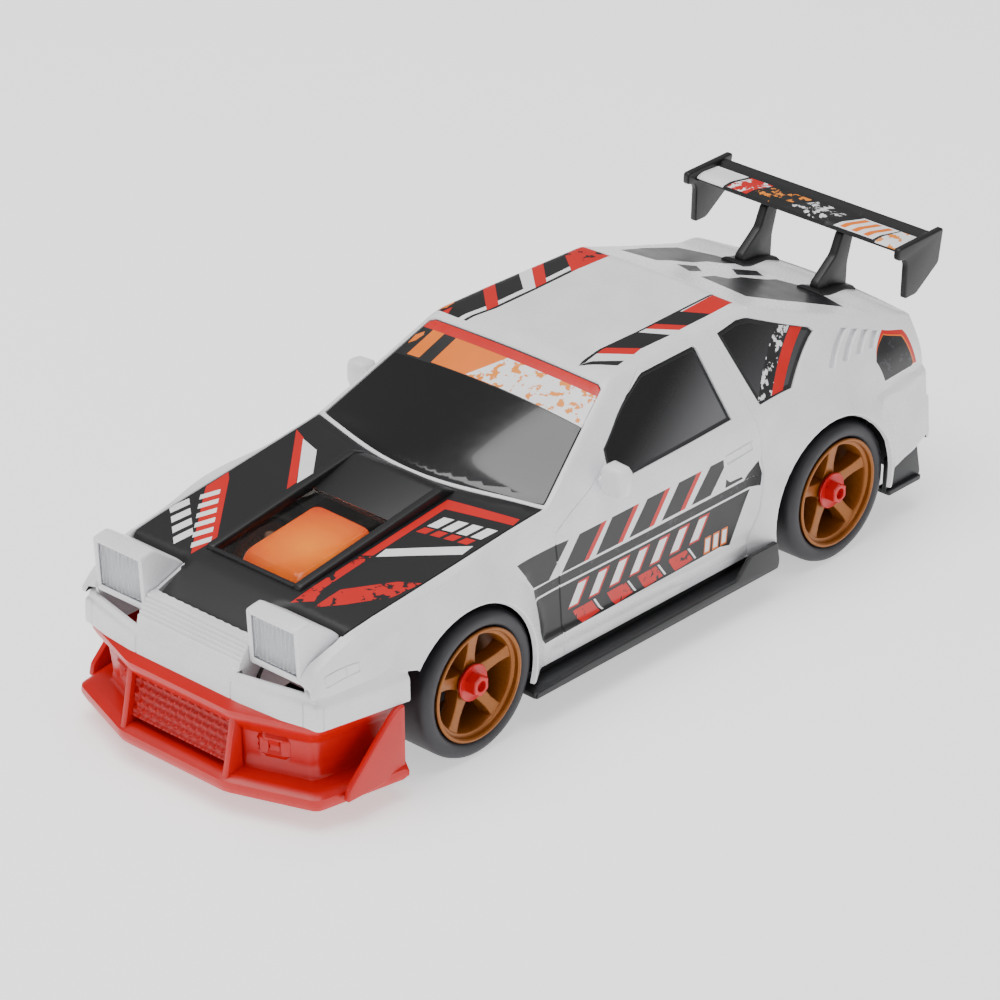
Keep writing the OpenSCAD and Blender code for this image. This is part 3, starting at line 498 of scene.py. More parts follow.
# Places of the printed finishes in the body's list of finishes
black_print, red_print, orange_print, white_print, worn_red_print, track_print = range(1, 7)
stripes = [[-26.3, -16.7, -24.5, -34.1], [-12.2, -2.6, -9.8, -19.3], [3.2, 11.2, 4.0, -4.9],
           [17.2, 25.3, 17.8, 9.5]]
door_inks = (
    side_ink([[[-53, 51.4], [-30.8, 51.2], [-39.4, 41.4], [-46, 41.4]]], black_print)
    + side_ink([[[a, 51.2], [b, 51.2], [c, 41.5], [d, 41.5]] for a, b, c, d in stripes], black_print)
    + side_ink([[[b, 51.2], [b + 2.3, 51.2], [c + 2.2, 41.5], [c, 41.5]] for a, b, c, d in stripes],
               red_print)
    + side_ink([[[31.4, 51.2], [37.3, 51.2], [37.6, 48.5], [31.6, 41.5], [22.9, 41.5]],
                [[38.6, 44.2], [40.4, 42.6], [45.6, 42.4], [46.4, 41.5], [38.2, 41.4]]], black_print)
    + side_ink([[[-46, 40.7], [53.4, 40.7], [52.4, 37.7], [-46, 37.7]]], track_print)
    + side_ink([[[53.4, 45.0], [48.4, 42.2], [46.8, 40.7], [53.6, 40.7]]], black_print)
    + side_ink([[[-46, 37.0], [49.4, 37.0], [48.0, 34.6], [40.4, 21.6], [36, 22.6], [-42.4, 22.2],
                 [-46, 28]]], black_print)
    + side_ink([[[y, 27.4], [y + 8.2, 27.6], [y + 11.4, 23.2], [y + 3.2, 22.6]]
                for y in (-29.4, -14.6, -1.2, 12.4)], worn_red_print)
    + side_ink([[[y + 8.9, 27.6], [y + 9.7, 27.6], [y + 12.9, 23.2], [y + 12.1, 23.2]]
                for y in (-29.4, -14.6, -1.2, 12.4)], white_print)
    # plain slashes along the door
    + side_ink([[[y, 28.6], [y + 4.6, 28.6], [y + 9.4, 36.0], [y + 4.8, 36.0]]
                for y in (-31.5, -22.6, -13.7, -4.8, 4.1, 13.0, 21.9)], red_print)
    + side_ink([[[y, 29.2], [y + 3.6, 29.2], [y + 7.6, 35.4], [y + 4.0, 35.4]]
                for y in (-31.0, -22.1, -13.2, -4.3, 4.6, 13.5, 22.4)], white_print)
    + side_ink([[[y, 22.8], [y + 2.8, 22.8], [y + 3.4, 28.2], [y + 0.6, 28.2]] for y in (28.6, 32.4, 36.2)],
               orange_print)
    + side_ink([[[y, 23.4], [y + 1.9, 23.4], [y + 2.4, 27.6], [y + 0.5, 27.6]] for y in (29.1, 32.9, 36.7)],
               white_print))
tail_inks = (side_ink([[[117.0, 64.2], [126.4, 61.2], [130.6, 49.6], [113.8, 49.4], [110.2, 56.9]]],
                      red_print)
             + side_ink([[[117.0, 63.0], [125.4, 60.0], [129.2, 50.0], [128.0, 49.4], [113.8, 49.4],
                          [110.2, 56.9]]], orange_print)
             + side_ink([[[116.9, 62.7], [125.0, 59.7], [128.7, 50.2], [127.6, 49.4], [113.8, 49.4],
                          [110.2, 56.9]]], track_print))


def top_ink(loops, number):
    """Each loop of (x, y) points on the top of the car, in that finish."""
    return [(to_top(loop), number) for loop in loops]


left_roof = (
    top_ink([[[22.2, 0.7], [24.0, 4.9], [30.4, 11.6], [31.0, 8.0]]], black_print)
    + top_ink([[[21.4, 9.0], [20.6, 13.2], [28.8, 21.0], [29.8, 16.5]],
               [[20.9, 30.6], [20.8, 35.0], [28.8, 41.7], [29.0, 37.6]],
               [[21.6, 47.2], [20.8, 62.6], [28.2, 63.0], [28.6, 52.4]]], red_print)
    + top_ink([[[20.6, 13.2], [20.9, 27.4], [29.2, 33.5], [29.0, 21.0]],
               [[20.8, 35.0], [21.0, 46.9], [28.6, 52.4], [28.8, 41.7]],
               [[22.2, 0.7], [20.4, 12.0], [20.9, 27.4], [20.3, 48.2], [20.0, 62.8], [20.8, 62.8],
                [21.1, 48.4], [21.6, 27.4], [21.2, 12.2], [23.0, 3.0]]], black_print))


def curve(x0, x1):
    """Long bowed stripe on the roof's right side, between two distances from the centre."""
    bow = np.array([[0, 0.8], [1.8, 12.0], [2.0, 26.0], [1.6, 40.0], [1.2, 52.0]])
    return np.concatenate([bow - (x0, 0), (bow - (x1, 0))[::-1]])


right_roof = (
    top_ink([[[-34.6, 1.0], [-34.4, 11.0], [-33.8, 30.0], [-33.4, 62.4], [-23.6, 62.4], [-23.4, 40.0],
              [-23.4, 26.0], [-23.8, 12.0], [-25.6, 0.8]]], black_print)
    + top_ink([curve(25.6, 24.2)], white_print) + top_ink([curve(23.6, 22.4)], black_print)
    + top_ink([[[-34.6, 0.8], [-34.6, 9.0], [-33.2, 7.0], [-32.6, 3.2]]], orange_print)
    + top_ink([[[-32.4, 1.0], [-31.4, 4.4], [-30.0, 1.0]]], red_print)
    + top_ink([[[-33.9, 20.5], [-33.7, 25.5], [-21.6, 14.0], [-21.8, 9.0]],
               [[-33.4, 41.5], [-33.2, 46.5], [-21.6, 35.2], [-21.5, 30.2]]], red_print)
    + top_ink([[[-33.6, 36.0], [-33.4, 41.5], [-21.5, 30.2], [-21.6, 25.4]]], white_print)
    + top_ink([[[-33.2, 56.0], [-33.0, 62.6], [-20.4, 62.6], [-21.2, 46.0]]], worn_red_print))
hatch_inks = (
    top_ink([[[1.1, 79.9], [-0.7, 88.6], [2.1, 92.2], [0.6, 100.0], [2.4, 104.8], [3.2, 109.0], [3.0, 114.0],
              [8.8, 117.0], [14.9, 118.2], [30.8, 112.9], [25.6, 96.1], [21.0, 77.5]]], track_print)
    + top_ink([[[-17.0, 80.0], [-17.4, 88.0], [-15.6, 96.0], [-16.6, 104.0], [-14.2, 110.0], [-14.2, 118.3],
                [-24.0, 117.0], [-34.0, 110.0], [-33.0, 92.0], [-29.0, 77.0]]], track_print)
    + top_ink([[[-13.2, 85.3], [-11.7, 93.1], [-5.3, 88.2], [-4.9, 81.7]],
               [[-8.3, 106.0], [-6.2, 115.6], [-0.4, 112.0], [-1.7, 100.6]]], track_print))
door_gaps = [to_side([[12.4, 86.0], [-36.0, 55.5], [-36.4, 51.0], [-35.2, 42.0], [-34.2, 24.0],
                      [-34.0, 15.2]]),
             to_side([[44.5, 86.4], [48.7, 73.2], [52.9, 57.5], [54.7, 50.0], [54.2, 43.0], [51.0, 30.0],
                      [48.0, 22.0], [47.6, 15.4]])]
handle = to_side([[38.5, 51.9], [50.5, 52.5], [50.8, 49.8], [39.4, 48.9], [38.5, 51.9]])
marker = to_side([[-129.2, 46.6], [-117.6, 47.4], [-117.4, 44.6], [-129.0, 43.4], [-129.2, 46.6]])
marker_split = to_side([[-122.0, 47.0], [-121.8, 44.2]])
rocker = to_side([[-38.0, 18.6], [40.0, 17.4]])
roof_seams = [to_top([[-33.0, 64.6], [0, 65.4], [32.6, 64.2]]), to_top([[-20.5, 64.8], [-21.5, 80.0]])]
grooves = ([(g, 0.35, 0.45) for line in door_gaps + [handle, marker, marker_split] for g in both(line)]
           + [(g, 0.6, 0.35) for g in both(rocker)] + [(roof_seams[0], 0.3, 0.3)])
folds = [np.array([[-133.5, side * s], [133.9, side * s]]) for side in (1, -1)
         for s in (36.0, 34.2, 38.0, 62.0, 64.0, 70.0, 101.4, 102.1, 102.7, 103.9, 104.5, 105.1)]
flare_edges = [half for axle in (front_axle, rear_axle) for radius in (34.6, 35.6)
               for half in both(to_side(arc(axle, 70, -8, radius)))]
moulding("body_skin", skin, skin_outline, body_finishes,
         holes=[windshield_edge] + both(side_window_edge) + both(quarter_edge)
         + [h for v in vents for h in both(v)],
         inks=door_inks + tail_inks + left_roof + right_roof + hatch_inks,
         grooves=grooves, folds=folds + flare_edges, outward=-1, parts=["body_shell"], group="body_white")


def lowered(depth):
    """The body's skin moved inwards by depth, along its own normal."""
    def surface(y, s):
        normal = np.cross(skin(y, s + 0.05) - skin(y, s - 0.05), skin(y + 0.05, s) - skin(y - 0.05, s))
        return skin(y, s) - depth * normal / (np.linalg.norm(normal, axis=1)[:, None] + 1e-12)
    return surface


vent_floor = to_side([[86.5, 59.6], [90.0, 57.0], [117.0, 60.5], [116.5, 66.0], [100.0, 72.5], [98.0, 70.5]])
for side, mark in ((1, "l"), (-1, "r")):
    moulding("vent_floor_" + mark, lowered(1.5), vent_floor * (1, side), [white_abs, inside_painted_shade], wall=0.8,
             outward=-1, group="body_white")

# ------------------------------------------------------------------ windows
# Windshield and side windows are moulded in smoke-black ABS and polished, then printed; they
# clip into the shell from inside, so they sit a little below the white skin.
def smoke_with_painted_reflection(name, dark, light, toward, start, reach, rough=0.12):
    """Polished smoke-black plastic with a painted reflection: the tone goes from dark to light with the
    distance in mm run along toward, from start over reach."""
    finish, tree, shader = new_finish(name)
    place = add(tree, "TexCoord")
    run = add(tree, "VectorMath", {"Vector": (place, "Object")}, operation="DOT_PRODUCT")
    run.inputs[1].default_value = tuple(1000 * np.array(toward) / np.linalg.norm(toward))
    share = add(tree, "MapRange", {"Value": (run, "Value")}, From_Min=start, From_Max=start + reach)
    dust = add(tree, "TexNoise", {"Vector": (place, "Object")}, Scale=300.0, Detail=2.0)
    tone = add(tree, "ValToRGB", {"Fac": (share, "Result")})
    tone.color_ramp.interpolation = "EASE"
    tone.color_ramp.elements[0].color, tone.color_ramp.elements[1].color = srgb(dark), srgb(light)
    wire(tree, shader, Base_Color=tone)
    sheen = add(tree, "MapRange", {"Value": (dust, "Fac")}, To_Min=rough - 0.03, To_Max=rough + 0.03)
    wire(tree, shader, Roughness=sheen)
    shader.inputs["Coat Weight"].default_value = 0.3
    return finish


def strip(x0, x1, depth0, depth1):
    """A patch of the windshield between two widths and two distances below its top edge."""
    return [[-2.2 - depth0, x0], [-2.2 - depth0, x1], [-2.2 - depth1, x1], [-2.2 - depth1, x0]]


# The windshield's tone runs from dark to lighter: a painted reflection of the softbox
screen_smoke_painted_reflection = smoke_with_painted_reflection("polished_smoke_windshield_painted_reflection", "0e0e10", "454547", (0.35, -0.6, -0.3), 2.0, 40.0)
screen_track = 5     # place in the windshield's list of finishes, which starts as the body's does
screen_inks = [(np.array(loop), number) for loop, number in [
    (strip(-34.0, 34.0, 0.0, 12.6), black_print), (strip(-30.0, -25.5, 0.0, 12.2), orange_print),
    (strip(-20.8, 2.0, 0.0, 12.4), orange_print), (strip(-36, -20.8, 12.2, 12.8), black_print),
    ([[-2.2, 2.0], [-14.4, -8.0], [-14.6, 34.3], [-2.2, 34.3]], screen_track),
    ([[-8.2, -33.6], [-6.4, -32.0], [-7.6, -31.2], [-9.8, -31.8], [-11.2, -33.2]], orange_print),
    (strip(-34.4, 34.4, 0.0, 3.0), red_print)]]
ink_orange_track = print_ink("orange_tyre_track_print", "f4f4f4", 0.12, "f08a1a", 1.1)
moulding("windshield_glass", lowered(0.4), inset(windshield_edge, 0.25),
         [screen_smoke_painted_reflection, ink_black, ink_red, ink_orange, ink_white, ink_orange_track, inside_painted_shade],
         inks=screen_inks, wall=1.2, outward=-1, parts=["windshield"], group="smoke_glass")
# The side and quarter glass get lighter towards the bottom and the rear: a painted reflection
window_smoke_painted_reflection = smoke_with_painted_reflection("polished_smoke_side_glass_painted_reflection", "0c0c0e", "6a6a6c", (0, 0.45, -0.9), -62.0, 26.0)
quarter_smoke_painted_reflection = smoke_with_painted_reflection("polished_smoke_quarter_glass_painted_reflection", "0e0e10", "4c4c4e", (0, 0.3, -0.95), -64.0, 30.0)
frame_rubber = plastic("matt_window_surround", "1c1c1e", 0.45)
ink_speckle = print_ink("white_speckle_print", "1c1c1e", 0.12, "e6e6e8", 0.9)
for side, mark in ((1, "l"), (-1, "r")):
    pane = inset(fill(side_window_edge, 3.0), -1.3) * (1, side)
    moulding("side_glass_" + mark, lowered(0.7), side_window_edge * (1, side),
             [frame_rubber, window_smoke_painted_reflection, inside_painted_shade], inks=[(pane, 1)], wall=1.0, outward=-1,
             parts=["side_window_" + mark], group="smoke_glass")
    pane = inset(fill(quarter_edge, 3.0), 1.5) * (1, side)
    band = to_side([[79.5, 77.0], [84.4, 75.4], [67.6, 62.4], [62.4, 62.4]]) * (1, side)
    speckle = to_side([[74.0, 79.0], [79.4, 77.4], [62.4, 62.4], [56.0, 62.6]]) * (1, side)
    moulding("quarter_glass_" + mark, lowered(0.7), quarter_edge * (1, side),
             [frame_rubber, quarter_smoke_painted_reflection, ink_speckle, ink_red, inside_painted_shade],
             inks=[(pane, 1), (speckle, 2), (band, 3)], wall=1.0, outward=-1,
             parts=["quarter_window_" + mark], group="smoke_glass")

# ------------------------------------------------------------------ hood
# Matt black ABS panel let into the shell, with an opening framed by two raised rails and a
# sloping rear recess, and a clear flat pane over the engine cover.
hood_black = plastic("moulded_matt_black_abs", "161618", 0.42, 0.15, 0.05)
hood_red_worn = print_ink("worn_red_hood_print", "cc0c06", 0.16, "161618", 1.3)


def hood_skin(y, s):
    """The body's skin, dropped by a ramp at the front corners behind the lamp pods."""
    place = skin(y, s)
    outer = np.clip((np.abs(s) - 16.4) / 1.0, 0, 1)
    drop = 2.2 * hinge(-116.2 - y, 0.4) / 2.6 * outer + 0.25 * hinge(-130.4 - y, 0.3)
    return place - np.stack([0 * y, 0 * y, drop], -1)


def slashes(start, gap, count, run, rise):
    """Parallel bars in the hood's plan (x, y): from start, each gap further; run and rise are the
    two sides of a bar."""
    start, gap, run, rise = (np.array(v, float) for v in (start, gap, run, rise))
    return [[start + i * gap, start + i * gap + run, start + i * gap + run + rise, start + i * gap + rise]
            for i in range(count)]


hood_edge = np.array([[-131.4, -18.2], [-131.9, -17.2], [-131.9, 17.2], [-131.4, 18.2], [-119.6, 17.1],
                      [-118.9, 17.6], [-118.6, 33.0], [-117.8, 34.9], [-115.4, 35.9], [-70.0, 35.9]])
hood_edge = np.concatenate([hood_edge, (np.stack([cowl_y, cowl_s * 0.992], -1) - (0.9, 0)),
                            hood_edge[:3:-1][:6] * (1, -1)])
hood_hole = to_top([[-16.8, -110.2], [16.8, -110.2], [16.8, -50.4], [-16.8, -50.4]])
hood_red, hood_white, hood_worn = 2, 3, 4     # places in the hood's list of finishes
hood_inks = (
    top_ink([[[-43.6, -49.6], [-38.2, -52.1], [-22.0, -71.5], [-21.8, -75.6]]], hood_red)
    + top_ink([[[-38.0, -52.6], [-29.9, -55.1], [-21.6, -65.0], [-21.6, -71.6]]], hood_white)
    + top_ink([[[-20.4, -115.4], [-42.9, -87.4], [-43.2, -78.0], [-40.4, -80.6], [-19.4, -106.1]]], hood_red)
    + top_ink(slashes((-22.6, -113.4), (-3.3, 3.9), 6, (-1.6, 2.0), (2.6, 5.6)), hood_white)
    + top_ink(slashes((-28.2, -114.6), (-4.2, 3.6), 4, (-2.6, 2.2), (1.2, 6.6)), hood_white)
    + top_ink([[[20.2, -115.9], [20.2, -52.5], [43.2, -47.2], [43.8, -50.6], [22.9, -56.6], [22.9, -108.5]]],
              hood_red)
    + top_ink([[[20.2, -116.2], [20.2, -88.0], [23.0, -86.0], [23.2, -106.0], [25.4, -112.0]]], hood_worn)
    + top_ink([[[24.0, -86.0], [23.6, -81.5], [42.0, -65.2], [42.4, -70.2]]], hood_white)
    + top_ink([[[27.2, -114.2], [27.4, -103.7], [37.4, -91.1], [43.2, -87.4], [41.4, -97.7], [33.5, -108.2]]],
              hood_worn)
    + top_ink(slashes((24.2, -70.0), (4.3, 1.1), 4, (3.0, 0.8), (0.6, 3.2)), hood_red)
    + top_ink(slashes((24.8, -66.0), (4.5, 1.2), 4, (3.2, 0.9), (0.8, 6.2)), hood_white))
moulding("hood_skin", hood_skin, hood_edge,
         [hood_black, ink_black, ink_red, ink_white, hood_red_worn, inside_painted_shade],
         holes=[hood_hole], inks=hood_inks, wall=1.4, outward=-1, parts=["hood_panel"], group="trim_black",
         folds=[np.array([[-118.5, 17.5], [-116.2, 17.5], [-116.2, 34.0]]) * (1, k) for k in (1, -1)])


def rounded(loop, radius, count=5):
    """Closed loop with each corner replaced by a short curve (a parabola from one side to the
    next) that starts radius before the corner, or halfway along a short side."""
    loop = np.asarray(loop, float)
    ahead, behind = np.roll(loop, -1, 0) - loop, np.roll(loop, 1, 0) - loop
    def cut(v):
        length = np.hypot(*v.T)[:, None] + 1e-9
        return v / length * np.minimum(radius, length * 0.45)
    t = np.linspace(0, 1, count)[None, :, None]
    start, stop = (loop + cut(behind))[:, None], (loop + cut(ahead))[:, None]
    return ((1 - t) ** 2 * start + 2 * t * (1 - t) * loop[:, None] + t ** 2 * stop).reshape(-1, 2)


def quads(rows, columns, closed=True):
    """Faces of a grid of rings laid one after the other, each ring closed unless said."""
    a = np.arange(rows * columns).reshape(rows, columns)
    b = np.roll(a, -1, 1) if closed else a[:, 1:]
    a = a if closed else a[:, :-1]
    return np.stack([a[:-1], b[:-1], b[1:], a[1:]], -1).reshape(-1, 4)


def plate(loop, low, high, axis, soft=0.4, corner=1.0):
    """Rings of a plate: a rounded outline pushed from low to high along an axis (0 is x, 2 is z),
    its two edges rounded off by soft. For axis 0 the outline is (y, z), for axis 2 it is (x, y)."""
    loop = rounded(loop, corner)
    a, b = loop.T
    if (a * np.roll(b, -1) - np.roll(a, -1) * b).sum() < 0:
        loop = loop[::-1]
    turn = np.radians([0, 30, 60, 90])
    steps = ([(soft * (1 - math.sin(t)), low + soft * (1 - math.cos(t))) for t in turn]
             + [(soft * (1 - math.sin(t)), high - soft * (1 - math.cos(t))) for t in turn[::-1]])
    rings = []
    for gap, level in steps:
        flat = inset(loop, gap)
        level = np.full(len(flat), level)
        rings.append(np.stack([level, *flat.T] if axis == 0 else [*flat.T, level], -1))
    return np.array(rings)


def joined(name, solids, finishes, which=None, **riding):
    """One mesh of several ring stacks, each closed at its ends; which gives each one's finish."""
    points, blocks, marks, base = [], [], [], 0
    for i, rings in enumerate(solids):
        rows, columns = rings.shape[:2]
        ends = [np.arange(columns)[None, ::-1], np.arange(columns)[None] + (rows - 1) * columns]
        group = [f + base for f in [quads(rows, columns)] + ends]
        first, last = rings[0].mean(0), rings[-1].mean(0)
        middle = rings[rows // 2].mean(0)
        a, b = rings[rows // 2][0] - middle, rings[rows // 2][columns // 4] - middle
        if np.dot(np.cross(a, b), last - first) < 0:
            group = [f[:, ::-1] for f in group]
        points.append(rings.reshape(-1, 3))
        blocks += group
        marks += [np.full(sum(map(len, group)), which[i] if which else 0)]
        base += rows * columns
    return make(name, np.concatenate(points), blocks, finishes, np.concatenate(marks), **riding)


rail = [[-111.4, 55.4], [-110.8, 57.2], [-54.6, 65.5], [-53.0, 65.7], [-46.8, 63.0], [-46.8, 60.8],
        [-56, 60.6], [-108, 54.8]]
recess = [[-71.2, 60.4], [-55.4, 65.0], [-53.4, 65.5], [-47.4, 63.2], [-46.6, 61.6], [-57, 60.4],
          [-70.6, 58.4]]
joined("hood_frame", [plate(rail, 16.0, 18.9, 0, 0.45, 1.2), plate(rail, -18.9, -16.0, 0, 0.45, 1.2),
                      plate(recess, -16.2, 16.2, 0, 0.3, 1.0),
                      plate([[-16.4, -111.3], [16.4, -111.3], [16.4, -109.6], [-16.4, -109.6]], 53.4, 56.9, 2,
                            0.3, 0.5)],
       [hood_black], group="trim_black")
glass, tree, shader = new_finish("clear_cast_pane")
# Clear styrene: almost no tint, sharp reflections; a faint waviness from casting
haze = add(tree, "TexNoise", {"Vector": (add(tree, "TexCoord"), "Object")}, Scale=60.0)
soft = add(tree, "MapRange", {"Value": (haze, "Fac")}, To_Min=0.01, To_Max=0.04)
wire(tree, shader, Roughness=soft)
shader.inputs["Base Color"].default_value = srgb("fbf4ec")
shader.inputs["Transmission Weight"].default_value = 1.0
shader.inputs["IOR"].default_value = 1.25
pane = [[-109.8, 55.4], [-109.8, 56.0], [-70.8, 61.0], [-70.8, 60.4]]
joined("hood_pane", [plate(pane, -16.1, 16.1, 0, 0.1, 0.1)], [glass],
       parts=["hood_window"], group="clear_pane")

# ------------------------------------------------------------------ engine cover
# Translucent orange styrene under the pane: a tray with a raised intake scoop. Its glow is painted
# light: orange at the scoop, falling to deep red at the tray's edges.
def painted_glow_plastic(name, bright, deep, centre, reach, power):
    """Lit translucent plastic: colour and glow run from bright at centre (mm) to deep at reach
    Translucent plastic with painted light: colour and a painted glow run from bright at centre (mm)
    to deep at reach mm away, with a fine mottle through them."""
    finish, tree, shader = new_finish(name)
    place = add(tree, "TexCoord")
    away = add(tree, "VectorMath", {0: (place, "Object")}, operation="DISTANCE")
    away.inputs[1].default_value = tuple(0.001 * v for v in centre)
    mottle = add(tree, "TexNoise", {"Vector": (place, "Object")}, Scale=260.0, Detail=3.0)
    shaken = add(tree, "Math", {0: (mottle, "Fac"), 2: (away, "Value")}, operation="MULTIPLY_ADD", in1=0.004)
    share = add(tree, "MapRange", {"Value": (shaken, "Value")}, From_Min=0.002, From_Max=0.001 * reach)
    tone = add(tree, "ValToRGB", {"Fac": (share, "Result")})
    tone.color_ramp.elements[0].color, tone.color_ramp.elements[1].color = srgb(bright), srgb(deep)
    wire(tree, shader, Base_Color=tone, Emission_Color=tone)
    shader.inputs["Emission Strength"].default_value = power
    shader.inputs["Roughness"].default_value = 0.22
    return finish


# Painted light: the scoop and tray emit and are coloured bright at a centre, falling to deep red and near black
# at their edges
scoop_painted_glow = painted_glow_plastic("orange_styrene_scoop_painted_glow", "ea8200", "b42600", (3, -92, 59), 24, 0.9)
tray_painted_glow = painted_glow_plastic("red_styrene_tray_painted_glow", "f02c02", "2a0603", (4, -98, 46), 34, 0.6)
# The intake slot is a dark red plate on the scoop's front: painted shade for the opening
intake_slot_painted_shade = plastic("intake_slot_painted_shade_red", "4a0f08", 0.5)


def box_ring(x0, x1, y0, y1, z, corner=1.0):
    """Rounded rectangle as one level ring."""
    loop = rounded([[x0, y0], [x1, y0], [x1, y1], [x0, y1]], corner)
    return np.column_stack([loop, np.full(len(loop), z)])


tray = [box_ring(-14.8, 14.8, -108.5, -72.5, 44.6), box_ring(-14.8, 14.8, -108.5, -72.5, 47.2),
        box_ring(-14.2, 14.2, -107.9, -73.1, 47.8), box_ring(-13.0, 13.0, -106.7, -74.3, 46.4)]
scoop = [box_ring(-11.6, 11.6, -104.8, -73.6, 46.0, 2.0), box_ring(-11.4, 11.4, -104.6, -73.8, 51.0, 2.0),
         box_ring(-11.0, 11.0, -104.0, -74.2, 53.4, 2.4)]
scoop += [box_ring(-10.8 + g, 10.8 - g, -103.6 + g, -74.4 - g, 53.8 + 1.4 * math.sin(math.radians(t)), 2.6)
          for t, g in [(30, 0.2), (50, 0.5), (70, 1.0), (90, 1.8)]]
scoop = [ring + np.column_stack([0 * ring[:, :2], (ring[:, 1:2] + 104) * 0.115 * (ring[:, 2:] > 52)])
         for ring in scoop]
slot = [np.column_stack([ring[:, 0], np.full(len(ring), y), 48.6 + ring[:, 1] - 100]) for y, ring in
        [(-104.9, box_ring(-8.2, 8.2, 98.6, 101.8, 0, 1.2)),
         (-103.6, box_ring(-8.2, 8.2, 98.6, 101.8, 0, 1.2))]]
joined("engine_scoop", [np.array(tray), np.array(scoop), np.array(slot)], [tray_painted_glow, scoop_painted_glow, intake_slot_painted_shade],
       which=[0, 1, 2], parts=["engine_cover"], group="orange_clear", crisp=50)

# ------------------------------------------------------------------ nose
# White ABS bumper band moulded with the shell: a stepped strip round the front, a shelf behind
# it with a well for each lamp pod, and a ribbed panel that climbs to the hood between them.
def carried(corners, soft):
    """Plan path through the corners (x, y), rounded by soft: returns place(a, gap), the point a mm
    along it from its middle and gap mm inwards on the corners' mitres, and half its length."""
    corners = np.asarray(corners, float)
    spans = np.diff(corners, axis=0)
    knots = np.concatenate([[0], np.cumsum(np.hypot(*spans.T))])
    knots -= knots[-1] / 2
    across = np.stack([-spans[:, 1], spans[:, 0]], -1) / np.hypot(*spans.T)[:, None]
    mitre = np.vstack([across[:1], across[:-1] + across[1:], across[-1:]])
    mitre[1:-1] *= 2 / (mitre[1:-1] ** 2).sum(1)[:, None]

    def place(a, gap):
        return [bent_line(a, knots, corners[:, i], soft) + gap * bent_line(a, knots, mitre[:, i], soft)
                for i in (0, 1)]
    return place, knots[-1]


def along(b, stations):
    """Profile (gap, z) at b mm along the broken line of stations, lightly rounded."""
    stations = np.asarray(stations, float)
    knots = np.concatenate([[0], np.cumsum(np.hypot(*np.diff(stations, axis=0).T))])
    return bent_line(b, knots, stations[:, 0], 0.35), bent_line(b, knots, stations[:, 1], 0.35), knots[-1]


band_path, band_half = carried([(-52.2, -101.5), (-47.2, -133.2), (-20.5, -139.2), (20.5, -139.2),
                                (47.2, -133.2), (52.2, -101.5)], 1.8)
band_stations = [(2.0, 31.0), (0.2, 31.2), (0.0, 31.8), (0.2, 38.6), (1.2, 39.4), (1.4, 41.6), (2.0, 42.3),
                 (5.0, 42.9), (8.0, 43.0)]


def band(a, b):
    """The band's carried profile; beyond 44 mm from the centre it falls by a fifth of the way out."""
    gap, z, _ = along(b, band_stations)
    x, y = band_path(a, gap)
    return np.stack([x, y, z - 1.6 * hinge(np.abs(x) - 44, 1.5) / 8], -1)


band_grooves = [(np.array([[a, 2.6], [a, 9.4]]), 0.35, 0.5) for k in (-1, 1)
                for a in (k * 19.0, k * 43.0, k * 50.0)]
half_edge = np.array([[band_half, 0.2], [band_half, 16.2], [47.0, 16.2], [45.5, 14.6], [44.0, 13.6],
                      [43.2, 12.5], [20.3, 12.5], [20.3, 16.2]])
moulding("nose_band", band, np.concatenate([half_edge, (half_edge * (-1, 1))[::-1]]),
         [white_abs, inside_painted_shade], grooves=band_grooves, wall=1.2, step=1.2,
         folds=[np.array([[-band_half + 0.5, b], [band_half - 0.5, b]]) for b in (2.2, 8.9, 9.6, 10.4, 12.2)])
climb = []
for i in range(6):
    y, z = -136.6 + i * 0.78, 43.2 + i * 1.05
    climb += [[y, z], [y + 0.12, z + 0.95], [y + 0.42, z + 1.12], [y + 0.62, z + 0.72]]
climb = np.array(climb + [[-131.6, 49.6], [-129.5, 49.6], [-129.5, 41.8], [-137.0, 41.8]])


def wall_of(outline, x0, x1):
    """Plate with a plain outline, no corner rounding, for ribs and thin walls."""
    loop = np.asarray(outline, float)
    a, b = loop.T
    loop = loop if (a * np.roll(b, -1) - np.roll(a, -1) * b).sum() > 0 else loop[::-1]
    return np.array([np.column_stack([np.full(len(loop), x), loop]) for x in (x0, x1)])


well_side = [[-131.4, 49.0], [-117.4, 53.6], [-117.4, 30.0], [-135.0, 30.0], [-135.6, 42.2]]
outer_side = [[-132.4, 43.6], [-131.0, 46.6], [-124.0, 50.4], [-117.4, 53.0], [-117.4, 30.0], [-131.4, 30.0],
              [-132.2, 42.0]]
walls = [wall_of(climb, -20.45, 20.45)]
for k in (-1, 1):
    walls += [wall_of(well_side, *sorted((k * 19.4, k * 20.4))),
              wall_of(outer_side, *sorted((k * 41.25, k * 42.2))),
              wall_of([[-117.2, 53.4], [-116.4, 53.6], [-116.4, 30.0], [-117.2, 30.0]],
                      *sorted((k * 19.4, k * 42.2)))]
joined("nose_panel", walls, [white_abs], group="body_white", crisp=25)

# ------------------------------------------------------------------ headlamp pods
# Each pod is a white ABS box hinged at its rear edge, with a flat visor, a sloping lid and a
# frame round a clear fluted lens in front of a silvered reflector. It folds down into its well.
reflector, tree, shader = new_finish("vacuum_silvered_reflector")
